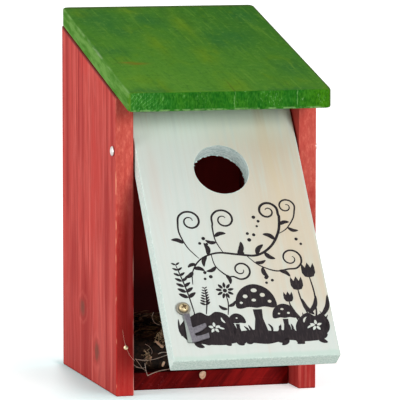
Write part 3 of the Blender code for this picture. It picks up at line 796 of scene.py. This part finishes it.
def brad_stopping(materials):
    """Stopping that fills the holes over the brads, stained with the board: one piece for each board."""
    outwards = {"left": (-1, 0, 0), "right": (1, 0, 0), "back": (0, 1, 0), "roof": ROOF_NORMAL}
    stopped = {board: [] for board in outwards}
    for name, node in nodes.items():
        if "_brad_" in name:
            kind, rest = name.split("_brad_")
            board = "roof" if kind == "roof" else rest.split("_")[0]
            outward = (0, 0, 1) if name.startswith("roof_brad_back") else outwards[board]
            heights = [vert.co.dot(Vector(outward)) for vert in node.data.vertices]
            level = max(heights) - 1e-5
            head = [vert.co for vert, height in zip(node.data.vertices, heights) if height > level]
            stopped[board].append((sum(head, Vector()) / len(head), outward))
    profile = [(0, 0.33), (0.9, 0.34), (1.1, 0.31), (1.12, 0.05), (0, 0.05)]
    for board, heads in stopped.items():
        bm = bmesh.new()
        for place, outward in heads:
            added(bm, written(turned(profile, 20, standing(place, outward)), "plug"))
        as_piece(bm, f"brad_stopping_{board}", materials[board], "box", 40)


def entrance_splinters(material, rng):
    """Torn fibres round the back of the entrance, where the drill broke through."""
    root = 0.3
    bm = bmesh.new()
    for _ in range(64):
        angle = rng.gauss(math.radians(100), math.radians(80))
        reach = rng.uniform(0.25, 1.0) * (1.2 if 0 < math.sin(angle) else 0.6)
        wide = rng.uniform(0.3, 0.75) * MM
        cone = {"cap_ends": True, "segments": 5, "radius1": wide, "radius2": 0.02 * MM}
        thorn = bmesh.ops.create_cone(bm, depth=(reach + root) * MM, **cone)["verts"]
        bmesh.ops.scale(bm, verts=thorn, vec=(1, 0.35, 1))
        lie = Matrix.Rotation(angle + rng.uniform(-0.4, 0.4) + math.pi / 2, 3, "Y")
        bmesh.ops.rotate(bm, verts=thorn, matrix=lie)
        away = ENTRANCE_RADIUS - (reach - root) / 2 * MM
        depth = BOARD / 2 - rng.uniform(0.25, 0.9) * MM
        spot = (away * math.cos(angle), depth, ENTRANCE_HEIGHT + away * math.sin(angle))
        bmesh.ops.translate(bm, verts=thorn, vec=spot)
    bmesh.ops.transform(bm, matrix=DOOR_FRAME, verts=bm.verts)
    as_piece(bm, "entrance_splinters", material, "door")


# The print on the door


def eased(points, closed=False, steps=6):
    """A smooth line through the points."""
    points = [Vector(point) for point in points]
    count = len(points)
    line = []
    for span in range(count if closed else count - 1):
        if closed:
            before, start, end, after = (points[(span + shift) % count] for shift in (-1, 0, 1, 2))
        else:
            before, start = points[max(span - 1, 0)], points[span]
            end, after = points[span + 1], points[min(span + 2, count - 1)]
        handles = start + (end - before) / 6, end - (after - start) / 6
        line += interpolate_bezier(start, *handles, end, steps + 1)[:-1]
    return line if closed else line + [points[-1]]


def curl(x, z, radius, start, turns):
    """Points of a spiral about a centre, from an angle in degrees inwards to 0.22 of its radius."""
    count = max(round(abs(turns) * 9), 4)
    points = []
    for step in range(count + 1):
        share = step / count
        angle = math.radians(start) + turns * math.tau * share
        reach = radius * (1 - share * 0.78)
        points.append((x + reach * math.cos(angle), z + reach * math.sin(angle)))
    return points


def heading(angle, length):
    """A step of a length across the door's face, at an angle in degrees."""
    return Vector((math.cos(math.radians(angle)), math.sin(math.radians(angle)))) * length


def set_down(outline, x, z, scale):
    """An outline that is drawn about its own foot, set down at a place on the door and a scale."""
    return [Vector((x + scale * across, z + scale * up)) for across, up in outline]


class Print:
    """Flat closed shapes on the door's face, drawn in mm across and up from the hinge, at a given height."""

    # The ink's thickness and the step of height from each shape to the next, in mm, and how many steps
    THICK = 0.025
    STEP = 0.004
    STEPS = 9

    def __init__(self, height):
        self.bm = bmesh.new()
        self.height = height
        self.laid = 0

    def lay(self, rows):
        """Joins rows of points as a strip, or one row as a plate, and gives it its thickness of ink."""
        self.laid += 1
        # Shapes that cross lie at different steps of height, so that no two share a plane
        lift = -(self.height + self.STEP * (self.laid % self.STEPS))
        verts = [[self.bm.verts.new((x, lift, z)) for x, z in row] for row in rows]
        if len(verts) == 1:
            faces = [self.bm.faces.new(verts[0])]
        else:
            edges = [self.bm.edges.new(pair) for row in verts for pair in zip(row, row[1:])]
            faces = bmesh.ops.bridge_loops(self.bm, edges=edges)["faces"]
        grown = bmesh.ops.extrude_face_region(self.bm, geom=faces)
        moved = [item for item in grown["geom"] if isinstance(item, bmesh.types.BMVert)]
        bmesh.ops.translate(self.bm, verts=moved, vec=(0, self.THICK, 0))

    def stroke(self, line, thick, thin=0.12, peak=0.5):
        """A pen stroke along a line, thin at both ends and as thick as given at its peak."""
        last = len(line) - 1
        sides = ([], [])
        for index, point in enumerate(line):
            ahead = (line[min(index + 1, last)] - line[max(index - 1, 0)]).normalized()
            share = index / last
            swell = math.sin(math.pi / 2 * (share / peak if share < peak else (1 - share) / (1 - peak)))
            half = (thin + (thick - thin) * swell ** 0.8) / 2
            across = Vector((-ahead.y, ahead.x)) * half
            sides[0].append(point + across)
            sides[1].append(point - across)
        self.lay(sides)

    def flourish(self, thick, spiral, *stem):
        """A stem that ends in a curl."""
        self.stroke(eased([*stem, *curl(*spiral)]), thick * 1.15, 0.45, 0.35)

    def leaf(self, base, angle, length, width, bend=0.15):
        """A pointed leaf that starts at base and leans at an angle in degrees."""
        along = heading(angle, length)
        middle = Vector(base) + along / 2 + Vector((-along.y, along.x)) * bend
        self.stroke(eased([base, middle, Vector(base) + along], steps=7), width, 0.06, 0.42)

    def petals(self, centre, count, first, inner, length, width):
        """A ring of petals, the first of them at an angle in degrees."""
        for petal in range(count):
            angle = 360 / count * petal + first
            self.leaf(Vector(centre) + heading(angle, inner), angle, length, width, 0)

    def dot(self, x, z, radius, tall=1.0):
        """A round spot, or one as tall as the given share of its width."""
        turns = [math.tau * step / 16 for step in range(16)]
        self.lay([[(x + radius * math.cos(turn), z + radius * tall * math.sin(turn)) for turn in turns]])

    def plate(self, points):
        """A smooth outline, filled."""
        self.lay([eased(points, closed=True)])

    def finish(self, name, material):
        """Makes all that was laid one piece, on the face of the door."""
        sealed(self.bm, 1e-4)
        bmesh.ops.scale(self.bm, verts=self.bm.verts, vec=(MM, MM, MM))
        bmesh.ops.translate(self.bm, verts=self.bm.verts, vec=(0, DOOR_FACE, 0))
        bmesh.ops.transform(self.bm, matrix=DOOR_FRAME, verts=self.bm.verts)
        as_piece(self.bm, name, material, "door")


def vine(ink):
    """A scrolling vine below the entrance, with curls, leaves and berries."""
    for thick, spiral, *stem in (
        (
            1.5, (24, -50, 7, -20, 1.45), (-32, -100), (-30.5, -91), (-24, -82.5), (-13, -78.5), (0, -80),
            (12, -81), (22, -75), (28.5, -65), (30.8, -55),
        ),
        (1.2, (-26.5, -55.5, 8, 190, -1.5), (-25, -82), (-31, -74), (-34.5, -64)),
        (1.2, (-5, -55, 8, 200, -1.45), (-9, -78.6), (-12.5, -70), (-13, -61)),
        (1.1, (33, -84, 8, -110, 1.45), (5, -80.8), (12, -88), (22, -92.5)),
        (1.1, (0, -91, 7, -140, 1.4), (-17, -79), (-15.5, -88), (-9, -95)),
        (1.0, (36.5, -47, 6, -35, 1.35), (28, -66.5), (34, -63), (39.5, -56)),
    ):
        ink.flourish(thick, spiral, *stem)
    for x, z, angle, length, width in (
        (-30.4, -91, 215, 7, 2.8), (-29.6, -89, -15, 7, 2.8), (-19, -80, 98, 9, 3.2),
        (-20, -80.4, 250, 8, 2.8), (-33, -71, 160, 8, 2.8), (-12.8, -67, 15, 8, 2.8),
        (-12.2, -71, 165, 7, 2.6), (0, -80, 70, 9.5, 3.4), (4, -80.5, 105, 7, 2.6), (12, -81, 55, 9, 3.2),
        (17, -79, -38, 8, 3), (25.5, -70.5, 150, 8.5, 3), (30, -60, 15, 7, 2.6), (14, -89.5, -70, 8, 3),
        (24, -92.3, -35, 8, 2.8), (-15.2, -88, 205, 7.5, 2.6), (-10, -94, -75, 7, 2.6),
        (35, -62, -20, 7, 2.4), (10, -86, 10, 7, 2.4), (-27.5, -86, 200, 6, 2.4),
    ):
        ink.leaf((x, z), angle, length, width, 0.14 if angle % 2 else -0.14)
    for berry in (
        (9, -70, 1.3), (12.5, -66.5, 1.1), (8.6, -65.5, 1.0), (-20, -68, 1.2), (-22.8, -71.4, 1.0),
        (-18.4, -72, 0.9), (15, -97, 1.2), (18.6, -99, 1.0), (14.6, -100.6, 0.9), (-23, -92, 1.1),
        (-19.8, -95, 1.2), (-23.6, -96.4, 0.9), (39, -70.5, 1.1), (41.4, -74, 0.9), (17, -57, 1.0),
        (14.5, -54, 1.2), (15.5, -60.5, 0.8),
    ):
        ink.dot(*berry)


def meadow(ink, rng):
    """A dark strip of meadow along the door's foot: bushes, toadstools, a daisy, tulips and lavender."""
    left_bush = [
        (-43, -137), (-46, -131), (-42, -125), (-37, -122), (-31, -119.5), (-26, -122), (-21, -119.5),
        (-15, -121.5), (-11.5, -127), (-9.5, -134), (-13, -139.5), (-20, -138), (-26, -140.8), (-34, -138.6),
        (-39, -140),
    ]
    right_bush = [
        (29, -139), (27.5, -132), (31, -126), (36.5, -122.5), (41, -125), (45.5, -123.4), (49, -128.5),
        (48.4, -135), (43, -139.6), (36, -140.8),
    ]
    ground = [
        (-42, -137.4), (-20, -135), (-9, -133.6), (4, -132.8), (14, -134.4), (22, -133.8), (34, -136),
        (46, -136.8), (44, -141), (32, -142.2), (20, -140.8), (8, -143), (-8, -141), (-20, -142.6),
        (-34, -141),
    ]
    for outline in (left_bush, right_bush, ground):
        ink.plate(outline)
    # Toadstools, each a cap over a stalk with a thin line left bare between them
    cap = [
        (-13, 0), (-11.6, 7), (-7, 12.6), (0, 15), (7, 12.6), (11.6, 7), (13, 0), (10.6, -1.9), (5, -0.9),
        (0, -1.6), (-5, -0.9), (-10.6, -1.9),
    ]
    stalk = [(-2.9, -2.6), (2.9, -2.6), (2.5, -9), (4.6, -19), (-4.6, -19), (-2.5, -9)]
    for x, foot, scale in ((5.5, -116.2, 1.0), (22.0, -124.6, 0.6), (-8.6, -127.4, 0.42)):
        ink.plate(set_down(cap, x, foot, scale))
        ink.lay([set_down(stalk, x, foot, scale)])
    # Tulips
    tulip = [
        (0, 0), (2.8, 0.7), (4.3, 3.4), (4.3, 7.2), (3.6, 10.2), (1.8, 7), (0, 10.6), (-1.8, 7), (-3.6, 10.2),
        (-4.3, 7.2), (-4.3, 3.4), (-2.8, 0.7),
    ]
    for foot, bend, top, size in (
        ((37, -124), (34.5, -114), (33.6, -106.5), 0.92), ((42, -125), (43.6, -110), (42.6, -98), 1.0),
        ((31, -130), (27.5, -121), (26.6, -114.6), 0.7),
    ):
        ink.stroke(eased([foot, bend, top]), 1.0, 0.7)
        ink.lay([set_down(tulip, *top, size)])
    blades = ((37.5, -123, 62, 14), (41, -124, 118, 13), (44.5, -126, 66, 17), (32, -127, 116, 12))
    for x, z, angle, length in blades:
        ink.leaf((x, z), angle, length, 3.0, -0.12 if angle < 90 else 0.12)
    # Lavender
    for foot, top, full in (((-34, -122), (-40.5, -86), 5.2), ((-27, -121), (-25, -103), 3.2)):
        foot, top = Vector(foot), Vector(top)
        ink.stroke(eased([foot, foot.lerp(top, 0.5) + Vector((0.8, 0)), top]), 0.9, 0.5)
        for step in range(7):
            spot = foot.lerp(top, 0.36 + 0.64 * step / 6)
            size = full * (1 - 0.5 * step / 6)
            for angle in (34, 152):
                ink.leaf(spot, angle, size * 1.2, size * 0.5, 0)
    # A daisy
    daisy = (-12.6, -105)
    ink.stroke(eased([(-13.5, -122), (-12, -114), (-12.6, -107.5)]), 0.8, 0.5)
    ink.petals(daisy, 9, 10, 1.9, 3.9, 1.9)
    ink.dot(*daisy, 1.35)
    ink.leaf((-13, -118), 150, 6, 2.2)
    ink.leaf((-12.4, -116), 35, 6.5, 2.2, -0.15)
    # Grass, short between the toadstools
    for step in range(30):
        x = -44 + 91 * (step + rng.uniform(-0.35, 0.35)) / 29
        lean = rng.uniform(-26, 26)
        tall = rng.uniform(4, 7) if -15 < x < 29 else rng.uniform(9, 17)
        ink.leaf((x, -135.5), 90 + lean, tall, 1.5, rng.uniform(-0.2, 0.2))
    # Leaves along the foot, which break the strip's lower line
    for step in range(13):
        x = -38 + 78 * (step + rng.uniform(-0.25, 0.25)) / 12
        lean = rng.choice((-1, 1)) * rng.uniform(42, 74)
        ink.leaf((x, -139.2), 270 + lean, rng.uniform(5, 7.5), 3.4, 0.1 if lean < 0 else -0.1)


def lights(bare):
    """Shapes left bare in the dark meadow: spots on the toadstools, and leaves and a bloom in the bushes."""
    for spot in (
        (5.5, -105.6, 1.9, 0.7), (-0.6, -109.6, 1.5, 0.85), (10.4, -109, 1.6, 0.85), (4.4, -112.4, 1.4, 0.7),
        (14.2, -113.6, 1.2, 0.8), (-3.8, -114, 1.0, 0.8), (21, -119.4, 1.0, 0.7), (24.6, -122.2, 0.9, 0.8),
        (18.6, -122.4, 0.7, 0.8), (-8.6, -124.4, 0.6, 0.8),
    ):
        bare.dot(*spot)
    for bloom in ((-23.5, -130.5), (40.5, -131.5)):
        bare.petals(bloom, 5, 18, 0.7, 3.1, 1.7)
    for x, z, angle in ((-16.2, -127.4, 118), (-17.4, -131.5, 150), (33.2, -129.2, 60), (34.8, -133.2, 20)):
        bare.leaf((x, z), angle, 4.4, 1.2, 0.12)


# The straw


def nest_bed(material):
    """The matted heart of the nest: the solid straw's own form, sunk a little and made lumpy."""
    bm = bmesh.new()
    bm.from_mesh(nodes["nest_straw"].data)
    bmesh.ops.remove_doubles(bm, verts=bm.verts, dist=1e-6)
    bmesh.ops.subdivide_edges(bm, edges=bm.edges, cuts=2, use_grid_fill=True)
    middle = (straw_low + straw_high) / 2
    for vert in bm.verts:
        lump = noise.noise(vert.co / 0.007) + 0.6 * noise.noise(vert.co / 0.003)
        rise = (vert.co.z - straw_low.z) / (straw_high.z - straw_low.z)
        inward = (middle - vert.co) * Vector((1, 1, 0))
        vert.co += inward * (0.035 + 0.02 * lump)
        vert.co.z = straw_low.z + (vert.co.z - straw_low.z) * 0.84 + 0.0016 * lump * min(rise * 3, 1)
    bmesh.ops.recalc_face_normals(bm, faces=bm.faces)
    top = BVHTree.FromBMesh(bm)
    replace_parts(as_piece(bm, "nest_bed", material, "box", 60), "nest_straw")
    return top


def stalks(name, lines, material):
    """Many closed tapering stalks as one piece, each a list of places and of radii in mm."""
    curve = bpy.data.curves.new(name, "CURVE")
    curve.dimensions = "3D"
    curve.bevel_depth = MM
    curve.bevel_resolution = 0
    curve.use_fill_caps = True
    for places, radii in lines:
        spline = curve.splines.new("POLY")
        spline.points.add(len(places) - 1)
        for spot, place, radius in zip(spline.points, places, radii):
            spot.co = (*place, 1)
            spot.radius = radius
    bm = added(bmesh.new(), as_mesh(bpy.data.objects.new(name + "_path", curve)))
    as_piece(sealed(bm), name, material, "box", 50)


def bed_at(top, x, y):
    """Where the bed's top lies, or None beside it."""
    return top.ray_cast(Vector((x, y, 1)), Vector((0, 0, -1)))[0]


def strewn(top, rng, count, length, radius, lift, rear=1.0):
    """Stalks that lie on the bed, each bowed a little, with one end higher than the other."""
    lines = []
    last = 8
    half = ROOM_HALF - 0.0012
    front, back = straw_low.y - 0.002, straw_high.y - 0.0005
    while len(lines) < count:
        x = rng.uniform(-half, half)
        y = front + (back - front) * rng.random() ** rear
        angle = rng.uniform(0, math.tau)
        reach = rng.uniform(*length) * MM
        bow = rng.uniform(-1.3, 1.3)
        tilt = rng.uniform(-0.12, 0.16)
        base = rng.uniform(*lift) * MM
        places = []
        for step in range(last + 1):
            share = step / last - 0.5
            turn = angle + bow * share
            spot = Vector((x + reach * share * math.cos(turn), y + reach * share * math.sin(turn), 1))
            spot.x = max(-half, min(half, spot.x))
            spot.y = max(front, min(back, spot.y))
            below = bed_at(top, spot.x, max(spot.y, straw_low.y + 0.004))
            if below is None:
                break
            ripple = 0.0008 * math.sin(9 * share + x * 300)
            spot.z = max(below.z + 0.0002, below.z + base + tilt * reach * (share + 0.5) + ripple)
            places.append(spot)
        else:
            thick = rng.uniform(*radius)
            lines.append((places, [thick * (1 - 0.5 * (step / last) ** 2) for step in range(last + 1)]))
    return lines


def loose_line(points, radius, tip=0.4):
    """One stalk drawn through points in mm, which thins to the given share of its radius."""
    places = [place * MM for place in eased(points, steps=5)]
    last = len(places) - 1
    return places, [radius * (1 - (1 - tip) * step / last) for step in range(last + 1)]


def wood_chips(top, rng, material):
    """Thin curled shavings on the nest, and one that hangs over the floor's front edge."""
    bm = bmesh.new()
    half = ROOM_HALF - 0.006
    upright = Matrix.Rotation(math.pi / 2, 3, "X")
    # The chips that show from the front: their place, length and width in mm, and how far they are turned
    shown = (
        ((-3.9, -51.8, 8.4), 5.2, 4.4, 1.35),
        ((-29.2, -50.4, 16.2), 3.4, 1.7, 1.2),
        ((-32.4, -49.6, 29.4), 5.4, 1.5, -0.75),
        ((-30.2, -50.0, 27.4), 2.6, 1.8, -0.5),
        ((-40.0, -50.2, 20.6), 2.8, 1.4, 1.1),
        ((-37.6, -50.4, 20.3), 2.6, 1.3, 0.9),
    )
    for count in range(22):
        long = rng.uniform(3.6, 7.5)
        wide = long * rng.uniform(0.3, 0.5)
        if count < len(shown):
            spot, long, wide, turn = shown[count]
            spot = Vector(spot) * MM
            spin = upright @ Matrix.Rotation(turn, 3, "Z")
        chip = bmesh.ops.create_grid(bm, x_segments=7, y_segments=3, size=0.5)["verts"]
        roll = rng.uniform(60, 160)
        ragged = rng.uniform(0.6, 0.95)
        for vert in chip:
            vert.co.y *= (1 - ragged * (2 * vert.co.x) ** 2) ** 0.5 + 0.3 * vert.co.x * rng.random()
            vert.co = (vert.co.x * long * MM, vert.co.y * wide * MM, 0)
            vert.co.z = roll * vert.co.x ** 2 + 0.15 * vert.co.y
        faces = {face for vert in chip for face in vert.link_faces}
        shell = bmesh.ops.solidify(bm, geom=list(faces), thickness=0.35 * MM)["geom"]
        both = set(chip) | {item for item in shell if isinstance(item, bmesh.types.BMVert)}
        if count >= len(shown):
            flat = Matrix.Rotation(rng.uniform(0, math.tau), 3, "Z")
            spin = flat @ Matrix.Rotation(rng.gauss(0, 0.5), 3, "X")
            x = rng.uniform(-half, half)
            y = rng.uniform(straw_low.y + 0.03, straw_high.y - 0.006)
            spot = bed_at(top, x, y) + Vector((0, 0, 0.0022))
        bmesh.ops.rotate(bm, verts=list(both), matrix=spin)
        bmesh.ops.translate(bm, verts=list(both), vec=spot)
    bmesh.ops.recalc_face_normals(bm, faces=bm.faces)
    as_piece(bm, "wood_chips", material, "box", 60)


def any_way(rng, shortest, longest):
    """A step in any direction."""
    return Vector([rng.gauss(0, 1) for _ in range(3)]).normalized() * rng.uniform(shortest, longest)


def nest(rng):
    """The bed, the straw and twigs strewn on it, a tan tuft by the gap, and stray fibres at the front."""
    # The bed, the strewn straw and the twigs take dark tones, partly their own colour and partly painted
    # shade deep in the box
    top = nest_bed(straw_look("matted_straw", (62, 40, 27), (10, 6, 4), 0.0026))
    pale = straw_look("pale_straw", (140, 104, 70), (50, 32, 20), 0.006)
    brown = straw_look("brown_twigs", (44, 28, 20), (20, 12, 9))
    stalks("nest_straws", strewn(top, rng, 110, (16, 44), (0.2, 0.38), (0.0, 3.4), 0.8), pale)
    stalks("nest_twigs", strewn(top, rng, 90, (14, 36), (0.4, 0.8), (-0.4, 2.0)), brown)
    # The stray straws that show in the gap beside the door, each a radius and the points on its way, in mm
    stray = (
        (0.26, (-33.8, -44, 48.3), (-34.8, -44, 45.4), (-33.1, -44, 41.8), (-29.9, -43.6, 40.2)),
        (
            0.32, (-47.7, -50.9, 20.2), (-43, -51.2, 19.3), (-38.6, -51, 19.2), (-32.8, -50.8, 20.1),
            (-22, -50, 23.4),
        ),
        (0.36, (-41.4, -51.3, 17.4), (-41.0, -51.8, 13.2), (-39.8, -51.5, 9.6)),
        (0.34, (-39.9, -51.5, 9.4), (-35, -51.6, 11.3), (-30, -51.4, 12.4), (-21.1, -51.2, 13.5)),
        (0.2, (-47.4, -51.8, 20.2), (-44.8, -52.1, 16.5), (-43.2, -52, 14.2), (-40.9, -51.6, 12.6)),
        (0.2, (-40.7, -49.2, 29.2), (-38.2, -49.8, 27.6), (-36.4, -49.8, 24.8), (-36.7, -50, 22.6)),
        (0.34, (-32.6, -50.6, 22.8), (-30, -50.8, 23.7), (-25, -50.6, 23.5)),
        (0.22, (-47, -50, 14.8), (-43, -50.9, 14.2), (-41, -51, 14.6)),
    )
    # A fine fibre that runs out of the nest and up the left board's front edge
    hair = (
        (-45, -51.8, 14.6), (-47.5, -52.6, 15.8), (-50.5, -54.5, 18), (-52.8, -58.4, 19.8), (-53, -64, 20.6),
        (-53.05, -69.6, 22.2), (-54.4, -70.66, 23.4), (-56.5, -70.66, 26.2), (-58.6, -70.66, 31.0),
        (-59.9, -70.66, 35.5), (-60.9, -70.66, 42),
    )
    loose = [loose_line(points, radius * 0.75, 0.6) for radius, *points in stray]
    loose.append(loose_line(hair, 0.15, 0.3))
    stalks("nest_stray_straws", loose, straw_look("pale_fibre", (255, 238, 220), (240, 200, 178), 0.004))
    # A tan tuft beside the door and a small one by the floor's edge
    tufts = []
    for middle, spread, count in (((-30.0, -46.8, 33.0), 2.2, 46), ((-39.6, -49.8, 22.0), 1.8, 32)):
        for _ in range(count):
            centre = Vector(middle) + Vector([rng.gauss(0, spread * stretch) for stretch in (0.7, 0.6, 1.3)])
            first = any_way(rng, 1.0, 3.0)
            second = any_way(rng, 0.5, 1.6)
            bowed = centre - first * 0.3 + second, centre + first * 0.5 + second
            line = [centre - first, *bowed, centre + first]
            tufts.append(loose_line(line, rng.choice((0.12, 0.18, 0.26, 0.4))))
    stalks("nest_tufts", tufts, straw_look("tan_tuft", (255, 222, 176), (58, 34, 18), 0.0016))
    stalks("nest_fibres", strewn(top, rng, 50, (12, 30), (0.12, 0.2), (0.8, 5.5), 0.8), pale)
    wood_chips(top, rng, straw_look("wood_chip", (250, 214, 182), (222, 172, 136), 0.004, (84, 56, 38)))


# Stage


def studio():
    """A white floor that keeps the box's shadow, an even white world and three soft suns."""
    scene = bpy.context.scene
    scene.view_settings.view_transform = "Standard"
    scene.world = bpy.data.worlds.new("studio")
    scene.world.use_nodes = True
    scene.world.node_tree.nodes.clear()
    sky = NodeTree(scene.world.node_tree)
    lit = sky.node("Background", None, ((1, 1, 1, 1), WORLD_LEVEL))
    seen = sky.node("Background", None, ((1, 1, 1, 1), 1.0))
    sky.node("OutputWorld", None, {"Surface": sky.node("MixShader", None, (sky.shown_ray(), lit, seen))})
    for name, towards, level, spread in LAMPS:
        lamp = bpy.data.lights.new(name, "SUN")
        lamp.energy = level * math.pi
        lamp.angle = math.radians(spread)
        holder = bpy.data.objects.new(name, lamp)
        holder.rotation_euler = Vector(towards).to_track_quat("Z", "Y").to_euler()
        scene.collection.objects.link(holder)
    look = Look("studio_floor")
    x, y = look.axes(look.place())[:2]
    # Beside the left board the floor is a little cooler, against the red that the board throws on it
    beside = (x + BOX_HALF).near(0, 0.085) * abs(y).rise(0.16, 0.05)
    pale = look.mix(beside, tone(246, 247, 247), tone(208, 247, 247))
    look.wear(Base_Color=pale, Roughness=0.9, Specular_IOR_Level=0.0)
    # The shadow there is painted as a wedge of less glow that opens towards the front, and the floor past it
    # glows a little
    wedge = ((BACK - y) * 0.3).most(0.0) + 0.006
    shade = (-BOX_HALF - x).rise(wedge, 0.0) * (x + BOX_HALF).rise(0.02, 0.0)
    shade = shade * y.rise(-0.11, -0.03) * y.rise(BACK + 0.03, BACK)
    dark = look.node("Emission", None, {"Strength": 0.0})
    glow = look.node("Emission", None, {"Color": look.mix(shade, FLOOR_GLOW, SHADE_GLOW), "Strength": 1.0})
    glow = look.node("MixShader", None, (look.shown_ray(), dark, glow))
    shown = look.node("AddShader", None, (Wire(look, look.shader.outputs[0]), glow))
    look.feed(look.tree.nodes["Material Output"].inputs["Surface"], shown)
    bm = bmesh.new()
    bmesh.ops.create_circle(bm, cap_ends=True, segments=64, radius=FLOOR_RADIUS)
    as_piece(bm, "studio_floor", look.material, None)


def photo_camera():
    """The camera at the photograph's place, which looks the way that it was held."""
    camera = bpy.data.cameras.new("photo_camera")
    camera.sensor_width = SENSOR_WIDTH
    camera.lens = FOCAL_PIXELS / PICTURE_WIDTH * SENSOR_WIDTH
    holder = bpy.data.objects.new("photo_camera", camera)
    holder.location = CAMERA_PLACE
    holder.rotation_euler = (math.pi / 2 - CAMERA_PITCH, 0, -CAMERA_YAW)
    bpy.context.scene.collection.objects.link(holder)
    bpy.context.scene.camera = holder


studio()
photo_camera()
crosswise = Matrix.Rotation(math.pi / 2, 4, "Z")
left_marks = {"knots": LEFT_KNOTS, "streaks": LEFT_STREAKS, "pale": LEFT_PALE_STREAKS}
stains = {
    "left": red_stain("red_stain_left", (-0.03, 0.024), 1.3, deep=room_wall, **left_marks),
    "right": red_stain("red_stain_right", (0.02, 0.03), 5.9, low=0.7, deep=room_wall),
    "back": red_stain("red_stain_back", (0.02, 0.01), 2.2, crosswise, deep=room_back),
    "roof": green_stain(),
}
wash = white_wash()
hook_frame = Matrix.Translation(hook_point) @ DOOR_TURN
finishes = {
    "left_side_board": stains["left"],
    "right_side_board": stains["right"],
    "back_board": stains["back"],
    "floor_board": floor_stain(),
    "roof_board": stains["roof"],
    "front_door": wash,
    "latch_hook": metal("zinc_steel", (118, 115, 121), (84, 82, 87), 0.6, 0.42, hook_frame, hook_marks_and_reflection),
}
red_heads = painted_head("red_painted_heads", (176, 60, 54), (150, 52, 46))
green_heads = painted_head("green_painted_heads", (66, 118, 32), (58, 100, 30))
for name in nodes:
    if "_brad_" in name:
        finishes[name] = green_heads if name.startswith("roof") else red_heads
for name, material in finishes.items():
    put_on(nodes[name].data, material)

hinge_frame = Matrix.Translation(hinge_point)
bright = metal("bright_steel", (216, 212, 208), (150, 146, 142), 0.3, 0.25, hinge_frame, head_painted_shade)
hinge_nail(-1, "left", bright)
hinge_nail(1, "right", bright)
nail_frame = Matrix.Translation((nail_low + nail_high) / 2)
catch_nail(metal("brass_nail", (246, 224, 184), (176, 140, 92), 0.4, 0.25, nail_frame, nail_dark_reflection))
screw_stand = standing(hook_point, DOOR_OUTWARD)
plated = metal("brass_plate", (192, 178, 144), (138, 118, 84), 0.7, 0.4, screw_stand, screw_painted_shade)
latch_screw(plated, screw_stand)
brad_stopping(stains)
entrance_splinters(wash, random.Random(5))
ink = Print(0.035)
vine(ink)
meadow(ink, random.Random(3))
ink.finish("door_print", print_ink())
bare = Print(0.085)
lights(bare)
bare.finish("door_print_lights", wash)
nest(random.Random(11))
